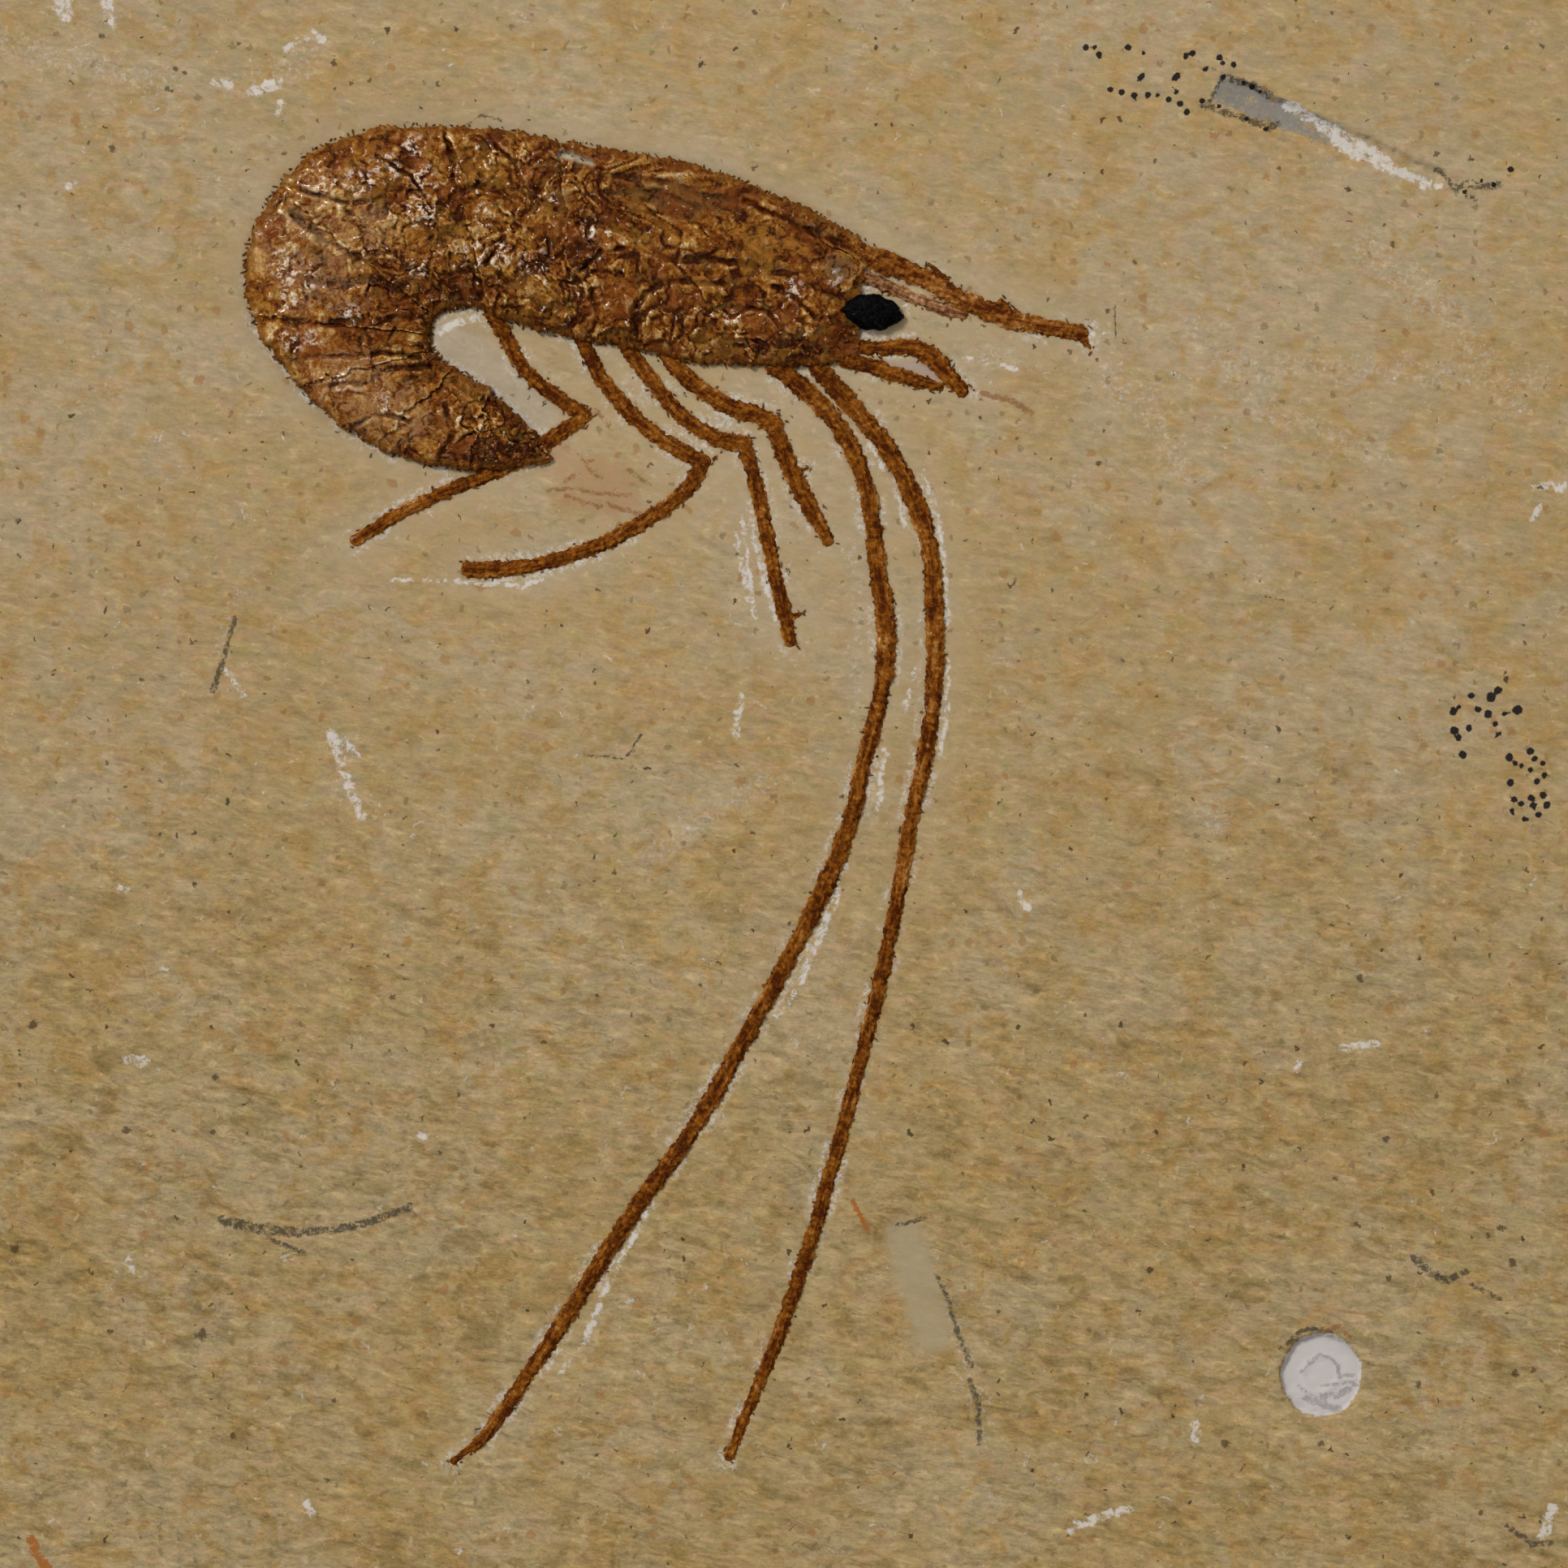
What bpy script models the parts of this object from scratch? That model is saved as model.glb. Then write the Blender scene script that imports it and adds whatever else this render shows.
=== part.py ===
"""A fossil shrimp on its slab of fine-grained limestone.

The slab lies on its flat underside with the fossil upwards. +X runs to the right and +Y to the top of the
slab as one looks down on it, +Z is up, and the origin is on the underside, below the middle of the slab.
The shrimp lies on its side in a shallow bed that follows its outline, and its eye has a socket of its own.
"""

import math
import random

import bmesh
import bpy
from mathutils import Matrix, Vector, noise

MM = 0.001
CLEARANCE = 0.3 * MM
SHARPEST_MITRE = 0.6

# Slab: a broken plate made of thin beds, each a little wider or narrower than the one below.
# Its corners and the setbacks of its beds are in millimetres.
SLAB_WIDTH = 138 * MM
SLAB_DEPTH = 126 * MM
SLAB_THICKNESS = 13 * MM
SLAB_CORNERS = (
    (-67.5, -60), (-38, -62.5), (-14, -61.5), (-9, -60.5), (26, -63), (56, -61.5), (63, -58), (68, -47),
    (69, -18), (65, -11), (66.5, 9), (68.5, 41), (64, 60), (39, 61), (33, 63), (2, 62), (-28, 62.5),
    (-59, 61), (-66, 53), (-69, 33), (-66, 20), (-66.5, 3), (-69, -30),
)
SLAB_EDGE_POINTS = 68
SLAB_EDGE_JITTER = 0.5 * MM
SLAB_BED_SHARES = (0.27, 0.12, 0.21, 0.10, 0.14, 0.16)
SLAB_BED_SETBACKS = (1.3, 0.6, 0.0, 1.5, 0.4, 1.2)
SLAB_BED_WAVE = 3.4 * MM
SLAB_BED_WAVE_COUNT = 3.1
SLAB_BED_ROUGHNESS = 0.5 * MM
SLAB_LEDGE_SLOPE = 0.35 * MM
SLAB_SEED = 11

# Marks on the upper face of the slab, with their centres in millimetres
PIT_CENTRE = (38.5, -42.1)
PIT_RIM_RADIUS = 3.15 * MM
PIT_FLOOR_RADIUS = 2.6 * MM
PIT_DEPTH = 0.7 * MM
PIT_SIDES = 24
GOUGE_CENTRE = (39.4, 46.3)
GOUGE_LENGTH = 19.4 * MM
GOUGE_WIDTH = 2.4 * MM
GOUGE_DEPTH = 0.5 * MM
GOUGE_TURN = math.radians(-22.8)
GOUGE_SIDES = 16
GOUGE_RINGS = 6

# Body of the shrimp, in millimetres: point on the back, point on the belly, and height of the crown
# above the slab, from the front of the head to the tip of the tail
BODY_STATIONS = (
    ((5.9, 38.6), (5.1, 30.6), 0.9),
    ((2.8, 40.6), (2.6, 29.9), 1.2),
    ((-0.3, 41.9), (-0.3, 29.8), 1.4),
    ((-3.8, 43.4), (-3.8, 30.0), 1.5),
    ((-7.3, 44.5), (-7.3, 30.2), 1.6),
    ((-11.9, 45.3), (-11.4, 31.2), 1.6),
    ((-16.0, 46.0), (-14.8, 31.8), 1.7),
    ((-20.6, 46.8), (-18.9, 32.8), 1.8),
    ((-25.3, 47.0), (-21.5, 33.9), 1.8),
    ((-29.6, 46.7), (-23.1, 34.0), 1.8),
    ((-33.4, 45.3), (-24.2, 33.8), 1.7),
    ((-36.4, 42.4), (-24.9, 33.4), 1.6),
    ((-38.1, 39.2), (-25.2, 33.0), 1.5),
    ((-38.5, 36.0), (-25.3, 32.5), 1.4),
    ((-37.6, 32.5), (-25.3, 31.9), 1.4),
    ((-35.4, 29.4), (-25.2, 31.2), 1.4),
    ((-32.5, 26.3), (-24.7, 30.4), 1.4),
    ((-28.8, 24.0), (-23.4, 29.6), 1.3),
    ((-25.0, 22.7), (-21.9, 28.7), 1.2),
    ((-21.2, 22.4), (-20.1, 27.3), 1.0),
    ((-18.4, 22.8), (-18.3, 25.6), 0.8),
    ((-16.6, 23.2), (-16.9, 24.2), 0.6),
)
# Stations where one shell ring ends and the next begins: carapace, six somites, telson
RING_EDGES = (0, 6.0, 7.8, 11.0, 13.7, 15.3, 16.9, 18.6, 21)
ROWS_PER_STATION = 2.0
RING_OVERLAP = 0.35
RING_GAP = 0.05
BODY_COLUMNS = 10
BODY_RIM = 0.25
BODY_END_HEIGHT = 0.35
BODY_CRUMPLE = 0.3
BODY_CRUMPLE_SIZE = 2.1
BACK_RAGGEDNESS = 0.16
BODY_SINK = 0.9 * MM
BODY_SEED = 5

# Furrows in the carapace, in millimetres
CARAPACE_FURROWS = (
    ((-9.6, 35.3), (-7.3, 36.0), (-5.0, 35.6)),
    ((-11.4, 39.8), (-7.9, 37.9), (-3.8, 37.3)),
    ((-2.2, 39.0), (1.6, 37.0)),
)
FURROW_DEPTH = 0.8
FURROW_WIDTH = 1.1

# Limbs, in millimetres: x, y and width along each one, from the body outwards
ROSTRUM = (
    (2.0, 39.5, 1.8), (5.4, 37.9, 2.1), (8.9, 36.5, 2.2), (12.4, 34.6, 2.0), (15.9, 33.3, 1.75),
    (19.4, 32.5, 1.5), (21.8, 32.2, 1.4),
)
UPPER_ANTENNULE = (
    (3.7, 31.4, 1.05), (6.6, 31.1, 1.15), (8.9, 31.2, 1.3), (10.6, 30.5, 1.5), (11.7, 29.2, 1.4),
    (13.1, 27.7, 0.9),
)
LOWER_ANTENNULE = ((3.7, 30.5, 1.3), (6.0, 29.9, 1.2), (8.1, 29.2, 1.15), (9.8, 28.7, 1.0), (11.5, 28.3, 0.7))
FRONT_ANTENNA = (
    (2.0, 30.2, 1.4), (4.6, 27.3, 1.5), (7.2, 24.2, 1.5), (9.2, 20.6, 1.5), (10.4, 16.6, 1.35),
    (10.8, 11.4, 1.45), (10.7, 6.7, 1.3), (10.1, 2.1, 1.3), (9.0, -2.8, 1.2), (8.1, -8.3, 1.15),
    (6.8, -14.4, 1.15), (5.2, -20.8, 1.1), (3.4, -27.5, 1.1), (1.4, -34.1, 1.15), (-0.8, -40.5, 1.05),
    (-3.0, -45.7, 0.9), (-4.1, -48.4, 0.8),
)
REAR_ANTENNA = (
    (-1.2, 30.2, 1.4), (2.0, 27.7, 1.5), (4.6, 24.4, 1.4), (6.0, 20.6, 1.3), (6.7, 15.4, 1.4),
    (7.3, 10.8, 1.5), (7.0, 6.7, 1.3), (5.8, 1.8, 1.3), (4.6, -3.1, 1.35), (2.7, -7.8, 1.4),
    (0.2, -12.7, 1.3), (-3.0, -18.5, 1.3), (-6.1, -24.0, 1.3), (-9.6, -28.9, 1.3), (-12.8, -33.7, 1.3),
    (-16.0, -38.8, 1.2), (-18.9, -43.1, 1.1), (-21.5, -46.7, 1.0), (-22.8, -47.7, 0.55), (-23.8, -48.6, 0.7),
)
# Each walking leg is bent once, so it is given as the part above its knee and the part below
WALKING_LEGS = (
    (
        ((-21.2, 34.3, 1.2), (-19.8, 31.8, 1.2), (-18.3, 29.3, 1.1), (-16.0, 27.5, 1.2), (-14.3, 26.3, 1.2)),
        ((-14.3, 26.3, 1.2), (-18.3, 23.5, 1.2), (-20.9, 22.2, 1.05), (-24.1, 20.9, 1.05),
         (-27.3, 19.4, 1.05), (-31.0, 17.2, 1.0)),
    ),
    (
        ((-14.7, 32.5, 1.2), (-13.5, 29.8, 1.2), (-11.9, 27.5, 1.2), (-9.3, 25.0, 1.2), (-5.8, 23.0, 1.25)),
        ((-5.8, 23.0, 1.25), (-7.0, 21.0, 1.2), (-9.6, 19.0, 1.2), (-13.4, 17.0, 1.15),
         (-17.7, 15.7, 1.1), (-21.2, 15.3, 1.3), (-23.1, 15.4, 1.2)),
    ),
    (
        ((-11.7, 31.9, 1.2), (-9.6, 29.0, 1.2), (-7.6, 26.6, 1.2), (-5.1, 24.8, 1.2), (-2.9, 24.3, 1.25)),
        ((-2.9, 24.3, 1.25), (-2.2, 22.1, 1.15), (-1.3, 18.3, 1.1), (-0.6, 14.6, 1.1), (0.2, 11.5, 1.15),
         (0.5, 9.7, 0.85)),
    ),
    (
        ((-8.8, 31.0, 1.3), (-6.7, 28.8, 1.3), (-4.4, 27.2, 1.3), (-1.8, 26.3, 1.4), (-0.8, 25.7, 1.4)),
        ((-0.8, 25.7, 1.4), (0.1, 23.4, 1.3), (1.1, 21.2, 1.4), (2.3, 18.9, 1.15), (3.4, 17.0, 0.85)),
    ),
)
# Teeth of the rostrum and spurs of the legs, from root to tip
SPINES = (
    ((8.8, 36.6, 1.0), (10.6, 37.6, 0.2)),
    ((14.1, 33.9, 0.9), (16.0, 34.6, 0.2)),
    ((21.1, 32.2, 0.9), (22.0, 31.0, 0.2)),
    ((0.4, 11.8, 0.7), (1.5, 12.3, 0.2)),
    ((0.4, 22.2, 0.7), (1.9, 22.6, 0.2)),
)
LIMB_STEPS = 2
LIMB_FLATNESS = 0.72
LIMB_BED_FLATNESS = 0.85
LIMB_SINK = 0.08 * MM
LIMB_STAGGER = 0.013 * MM
LIMB_OVERLAP = 0.15 * MM
KNEE_SWELLING = 1.1
KNEE_TURN = math.radians(77)
KNEE_SIDES = 8
KNEE_RINGS = 6
WELD_DISTANCE = 0.001 * MM

# Eye: a flattened lens, pointed at both ends, with its centre in millimetres
EYE_CENTRE = (6.3, 33.7)
EYE_LENGTH = 4.6 * MM
EYE_WIDTH = 2.6 * MM
EYE_HEIGHT = 1.8 * MM
EYE_TURN = math.radians(-7)
EYE_PINCH = 0.22
EYE_LIFT = 0.15 * MM
EYE_SIDES = 18
EYE_RINGS = 8

LIMESTONE_COLOUR = (0.44, 0.33, 0.17, 1)
SHELL_COLOUR = (0.19, 0.075, 0.022, 1)
EYE_COLOUR = (0.006, 0.007, 0.009, 1)


def clear_scene():
    """Empty the scene, so that the script gives the same model each time it is run."""
    for old in list(bpy.data.objects):
        bpy.data.objects.remove(old, do_unlink=True)


def new_collection(name, parent):
    """A collection of that name inside another one."""
    collection = bpy.data.collections.new(name)
    parent.children.link(collection)
    return collection


def give_material(target, name, colour, roughness):
    """A plain material of one colour."""
    material = bpy.data.materials.new(name)
    material.use_nodes = True
    material.diffuse_color = colour
    shader = material.node_tree.nodes["Principled BSDF"]
    shader.inputs["Base Color"].default_value = colour
    shader.inputs["Roughness"].default_value = roughness
    target.data.materials.append(material)


def object_from_bmesh(name, bm, collection):
    """Turn a bmesh into an object of the collection, with its faces pointing out."""
    bmesh.ops.recalc_face_normals(bm, faces=bm.faces)
    mesh = bpy.data.meshes.new(name)
    bm.to_mesh(mesh)
    bm.free()
    result = bpy.data.objects.new(name, mesh)
    collection.objects.link(result)
    return result


def hide_tools(collection):
    """Show the helper shapes of a collection as wire only, and keep them out of renders."""
    for tool in collection.objects:
        tool.hide_render = True
        tool.display_type = "WIRE"


def add_boolean(target, operation, tools):
    """Join or cut the target with all the shapes of a collection."""
    modifier = target.modifiers.new(operation.title(), "BOOLEAN")
    modifier.operation = operation
    modifier.operand_type = "COLLECTION"
    modifier.collection = tools
    modifier.solver = "EXACT"


def smooth_point(points, position):
    """The point at a fractional position on a smooth curve through points of any number of values."""
    index = min(int(position), len(points) - 2)
    t = position - index
    before = points[max(index - 1, 0)]
    after = points[min(index + 2, len(points) - 1)]
    return tuple(
        b + 0.5 * t * (c - a + t * (2 * a - 5 * b + 4 * c - d + t * (3 * b - a - 3 * c + d)))
        for a, b, c, d in zip(before, points[index], points[index + 1], after)
    )


def points_along(corners, count):
    """Evenly spaced points along a closed outline."""
    starts = [Vector(corner) for corner in corners]
    sides = [b - a for a, b in zip(starts, starts[1:] + starts[:1])]
    spacing = sum(side.length for side in sides) / count
    result = []
    walked = 0.0
    for start, side in zip(starts, sides):
        while len(result) < count and len(result) * spacing < walked + side.length:
            result.append(start + side * ((len(result) * spacing - walked) / side.length))
        walked += side.length
    return result


def distance_to_line(point, line):
    """Shortest distance from a point to a line given by its corners."""
    best = math.inf
    for start, end in zip(line, line[1:]):
        start, end = Vector(start), Vector(end)
        along = end - start
        share = max(0.0, min(1.0, (point - start).dot(along) / along.length_squared))
        best = min(best, (point - start - along * share).length)
    return best


def solid_from_rings(name, rings, collection):
    """A solid whose base is the first ring, raised ring by ring to the last one."""
    bm = bmesh.new()
    bmesh.ops.create_circle(bm, cap_ends=True, segments=len(rings[0]), radius=1)
    for vertex, place in zip(bm.verts, rings[0]):
        vertex.co = place
    top = bm.faces[:]
    for level, (lower, upper) in enumerate(zip(rings, rings[1:])):
        raised = bmesh.ops.extrude_face_region(bm, geom=top)["geom"]
        if level:
            bmesh.ops.delete(bm, geom=top, context="FACES_ONLY")
        top = [item for item in raised if isinstance(item, bmesh.types.BMFace)]
        for vertex in [item for item in raised if isinstance(item, bmesh.types.BMVert)]:
            nearest = min(range(len(lower)), key=lambda i: (vertex.co - lower[i]).length_squared)
            vertex.co = upper[nearest]
    return object_from_bmesh(name, bm, collection)


def fit_rings(rings):
    """Stretch the rings a little, so that the slab has its stated width and depth about the origin."""
    across = [point.x for ring in rings for point in ring]
    upward = [point.y for ring in rings for point in ring]
    middle = Vector(((min(across) + max(across)) / 2, (min(upward) + max(upward)) / 2, 0))
    stretch = Vector((SLAB_WIDTH / (max(across) - min(across)), SLAB_DEPTH / (max(upward) - min(upward)), 1))
    return [[(point - middle) * stretch for point in ring] for ring in rings]


def make_slab(collection):
    """The slab before it is cut: thin beds on each other, with broken edges and narrow ledges."""
    rng = random.Random(SLAB_SEED)
    outline = points_along(SLAB_CORNERS, SLAB_EDGE_POINTS)
    outline = [point * MM + point.normalized() * rng.uniform(-1, 1) * SLAB_EDGE_JITTER for point in outline]
    rings = []
    foot = 0.0
    for bed, (share, setback) in enumerate(zip(SLAB_BED_SHARES, SLAB_BED_SETBACKS)):
        ring = []
        for point in outline:
            direction = point.normalized()
            wave = noise.noise(Vector((direction.x, direction.y, bed)) * SLAB_BED_WAVE_COUNT)
            step_back = setback * MM + SLAB_BED_WAVE * max(0.0, wave) + SLAB_BED_ROUGHNESS * rng.random()
            ring.append(point - direction * step_back)
        head = foot + share * SLAB_THICKNESS
        wall_foot = foot + SLAB_LEDGE_SLOPE if bed else foot
        rings += [[Vector((point.x, point.y, height)) for point in ring] for height in (wall_foot, head)]
        foot = head
    return solid_from_rings("limestone_slab", fit_rings(rings), collection)


def ring_rows():
    """Stations of the body's cross rows, and how far along its shell ring each of them lies."""
    rows = []
    for start, end in zip(RING_EDGES, RING_EDGES[1:]):
        count = max(2, round((end - start) * ROWS_PER_STATION))
        first = start + RING_GAP if start else start
        last = end - RING_GAP if end < RING_EDGES[-1] else end
        rows += [(first + (last - first) * step / count, step / count) for step in range(count + 1)]
    return rows


def body_places():
    """Places of the body's upper surface in millimetres, row by row from the back to the belly."""
    rng = random.Random(BODY_SEED)
    flat_stations = [(*back, *belly, crown) for back, belly, crown in BODY_STATIONS]
    rows = []
    for station, share in ring_rows():
        back_x, back_y, belly_x, belly_y, crown = smooth_point(flat_stations, station)
        back, belly = Vector((back_x, back_y)), Vector((belly_x, belly_y))
        back += (back - belly).normalized() * rng.uniform(-1, 1) * BACK_RAGGEDNESS
        from_end = min(station, RING_EDGES[-1] - station)
        fade = min(1.0, BODY_END_HEIGHT + from_end)
        row = []
        for column in range(BODY_COLUMNS + 1):
            angle = math.pi * column / BODY_COLUMNS
            place = back.lerp(belly, (1 - math.cos(angle)) / 2)
            crumple = noise.noise(Vector((place.x, place.y, 0)) / BODY_CRUMPLE_SIZE) * BODY_CRUMPLE
            furrow = min(distance_to_line(place, line) for line in CARAPACE_FURROWS) / FURROW_WIDTH
            swelling = crown - BODY_RIM + RING_OVERLAP * share + crumple - FURROW_DEPTH * math.exp(-furrow**2)
            row.append(Vector((place.x, place.y, BODY_RIM + swelling * fade * math.sin(angle))))
        rows.append(row)
    return rows


def make_body(rows, collection):
    """The shell of the body: a grid laid on the rows, with its rim carried down to a flat base."""
    cells = len(rows) - 1
    bm = bmesh.new()
    bmesh.ops.create_grid(bm, x_segments=BODY_COLUMNS, y_segments=cells, size=1)
    for vertex in bm.verts:
        column = round((vertex.co.x + 1) / 2 * BODY_COLUMNS)
        row = round((vertex.co.y + 1) / 2 * cells)
        vertex.co = rows[row][column] * MM + Vector((0, 0, SLAB_THICKNESS))
    rim = [edge for edge in bm.edges if edge.is_boundary]
    lowered = bmesh.ops.extrude_edge_only(bm, edges=rim)["geom"]
    for item in lowered:
        if isinstance(item, bmesh.types.BMVert):
            item.co.z = SLAB_THICKNESS - BODY_SINK
    base = [item for item in lowered if isinstance(item, bmesh.types.BMEdge)]
    bmesh.ops.contextual_create(bm, geom=base)
    return object_from_bmesh("fossil_shrimp", bm, collection)


def grown_outline(points, margin):
    """A closed outline moved outwards by a margin, with its points running anticlockwise."""
    area = sum(a.x * b.y - b.x * a.y for a, b in zip(points, points[1:] + points[:1]))
    if area < 0:
        points = points[::-1]
    grown = []
    for before, point, after in zip(points[-1:] + points[:-1], points, points[1:] + points[:1]):
        first, second = (point - before).normalized(), (after - point).normalized()
        normal = Vector((first.y + second.y, -first.x - second.x)).normalized()
        reach = margin / max(SHARPEST_MITRE, normal.dot(Vector((first.y, -first.x))))
        grown.append(point + normal * reach)
    return grown


def make_body_bed(rows, collection):
    """Cutter for the body's bed: the body's outline grown by the clearance, a little deeper than its base."""
    edge = rows[0] + [row[-1] for row in rows[1:-1]] + rows[-1][::-1] + [row[0] for row in rows[-2:0:-1]]
    outline = grown_outline([place.xy * MM for place in edge], CLEARANCE)
    heights = (SLAB_THICKNESS - BODY_SINK - CLEARANCE, SLAB_THICKNESS + BODY_SINK)
    rings = [[Vector((point.x, point.y, height)) for point in outline] for height in heights]
    return solid_from_rings("body_bed", rings, collection)


def flatten_on_slab(mesh, flatness, lift):
    """Press a shape made round the XY plane to an oval section, and set it in the slab's upper face."""
    seat = Matrix.Translation((0, 0, SLAB_THICKNESS - LIMB_SINK + lift))
    mesh.transform(seat @ Matrix.Diagonal((1, 1, flatness, 1)))


def make_limb(name, points, steps, margin, lift, collection):
    """A limb as a tapering tube along its route, pressed flat; a margin makes it the cutter for its bed."""
    last = len(points) - 1
    route = [smooth_point(points, step / steps) for step in range(last * steps + 1)]
    places = [Vector((x, y, 0)) * MM for x, y, _ in route]
    places[0] += (places[0] - places[1]).normalized() * LIMB_OVERLAP
    places[-1] += (places[-1] - places[-2]).normalized() * (LIMB_OVERLAP + margin)
    curve = bpy.data.curves.new(name, "CURVE")
    curve.dimensions = "3D"
    curve.bevel_depth = 1
    curve.bevel_resolution = 1
    curve.use_fill_caps = True
    spline = curve.splines.new("POLY")
    spline.points.add(len(places) - 1)
    for point, place, (_, _, width) in zip(spline.points, places, route):
        point.co = (*place, 1)
        point.radius = width * MM / 2 + margin
    guide = bpy.data.objects.new(name, curve)
    collection.objects.link(guide)
    evaluated = guide.evaluated_get(bpy.context.evaluated_depsgraph_get())
    bm = bmesh.new()
    bm.from_mesh(bpy.data.meshes.new_from_object(evaluated))
    bmesh.ops.remove_doubles(bm, verts=bm.verts, dist=WELD_DISTANCE)
    bpy.data.objects.remove(guide, do_unlink=True)
    limb = object_from_bmesh(name, bm, collection)
    flatten_on_slab(limb.data, LIMB_BED_FLATNESS if margin else LIMB_FLATNESS, lift)


def make_knee(name, joint, margin, lift, collection):
    """The swollen joint between the two parts of a leg."""
    x, y, width = joint
    bm = bmesh.new()
    radius = width * MM / 2 * KNEE_SWELLING + margin
    place = Matrix.Translation((x * MM, y * MM, 0)) @ Matrix.Rotation(KNEE_TURN, 4, "X")
    bmesh.ops.create_uvsphere(bm, u_segments=KNEE_SIDES, v_segments=KNEE_RINGS, radius=radius, matrix=place)
    knee = object_from_bmesh(name, bm, collection)
    flatten_on_slab(knee.data, LIMB_BED_FLATNESS if margin else LIMB_FLATNESS, lift)


def make_limbs(prefix, margin, collection):
    """All the limbs, teeth and spurs of the shrimp, or the cutters for their beds."""
    routes = [ROSTRUM, UPPER_ANTENNULE, LOWER_ANTENNULE, FRONT_ANTENNA, REAR_ANTENNA, *SPINES]
    for upper, lower in WALKING_LEGS:
        routes += [upper, lower]
    for number, points in enumerate(routes):
        steps = LIMB_STEPS if len(points) > 2 else 1
        make_limb(f"{prefix}_limb_{number}", points, steps, margin, number * LIMB_STAGGER, collection)
    for number, (_, lower) in enumerate(WALKING_LEGS):
        make_knee(f"{prefix}_knee_{number}", lower[0], margin, -number * LIMB_STAGGER, collection)


def make_eye(name, margin, collection):
    """The eye, or with a margin the cutter for its socket."""
    bm = bmesh.new()
    bmesh.ops.create_uvsphere(bm, u_segments=EYE_SIDES, v_segments=EYE_RINGS, radius=1)
    half = Vector((EYE_LENGTH, EYE_WIDTH, EYE_HEIGHT)) / 2 + Vector((margin, margin, margin))
    for vertex in bm.verts:
        pinch = max(0.0, 1 - vertex.co.x**2) ** EYE_PINCH
        vertex.co = Vector((vertex.co.x * half.x, vertex.co.y * half.y * pinch, vertex.co.z * half.z))
    centre = Vector((EYE_CENTRE[0] * MM, EYE_CENTRE[1] * MM, SLAB_THICKNESS + EYE_LIFT))
    bm.transform(Matrix.Translation(centre) @ Matrix.Rotation(EYE_TURN, 4, "Z"))
    return object_from_bmesh(name, bm, collection)


def make_pit(collection):
    """Cutter for the shallow round pit in the slab's lower right."""
    bm = bmesh.new()
    slope = (PIT_RIM_RADIUS - PIT_FLOOR_RADIUS) / PIT_DEPTH
    height = 2 * PIT_DEPTH
    centre = Matrix.Translation((PIT_CENTRE[0] * MM, PIT_CENTRE[1] * MM, SLAB_THICKNESS))
    bmesh.ops.create_cone(
        bm, cap_ends=True, segments=PIT_SIDES, radius1=PIT_FLOOR_RADIUS,
        radius2=PIT_FLOOR_RADIUS + slope * height, depth=height, matrix=centre,
    )
    return object_from_bmesh("pit", bm, collection)


def make_gouge(collection):
    """Cutter for the long shallow gouge in the slab's upper right."""
    bm = bmesh.new()
    place = Matrix.Translation((GOUGE_CENTRE[0] * MM, GOUGE_CENTRE[1] * MM, SLAB_THICKNESS))
    size = Matrix.Diagonal((GOUGE_LENGTH / 2, GOUGE_WIDTH / 2, GOUGE_DEPTH, 1))
    turned = place @ Matrix.Rotation(GOUGE_TURN, 4, "Z") @ size
    bmesh.ops.create_uvsphere(bm, u_segments=GOUGE_SIDES, v_segments=GOUGE_RINGS, radius=1, matrix=turned)
    return object_from_bmesh("gouge", bm, collection)


def build():
    """Make the slab, the shrimp and its eye, each bedded in its neighbour."""
    clear_scene()
    root = bpy.context.scene.collection
    parts = new_collection("fossil_shrimp_slab", root)
    cutters = new_collection("cutters", root)
    limbs = new_collection("limbs", cutters)
    socket = new_collection("socket", cutters)
    beds = new_collection("beds", cutters)

    rows = body_places()
    shrimp = make_body(rows, parts)
    make_limbs("shrimp", 0, limbs)
    make_eye("eye_socket", CLEARANCE, socket)
    add_boolean(shrimp, "UNION", limbs)
    add_boolean(shrimp, "DIFFERENCE", socket)
    give_material(shrimp, "fossil_shell", SHELL_COLOUR, 0.35)

    eye = make_eye("eye", 0, parts)
    eye.data.shade_smooth()
    give_material(eye, "fossil_eye", EYE_COLOUR, 0.3)

    slab = make_slab(parts)
    make_body_bed(rows, beds)
    make_limbs("bed", CLEARANCE, beds)
    make_eye("eye_bed", CLEARANCE, beds)
    make_pit(beds)
    make_gouge(beds)
    add_boolean(slab, "DIFFERENCE", beds)
    give_material(slab, "limestone", LIMESTONE_COLOUR, 0.8)

    for collection in (limbs, socket, beds):
        hide_tools(collection)


build()
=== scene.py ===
import math

import bpy
import numpy as np
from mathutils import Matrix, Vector, noise
from mathutils.bvhtree import BVHTree


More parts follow.
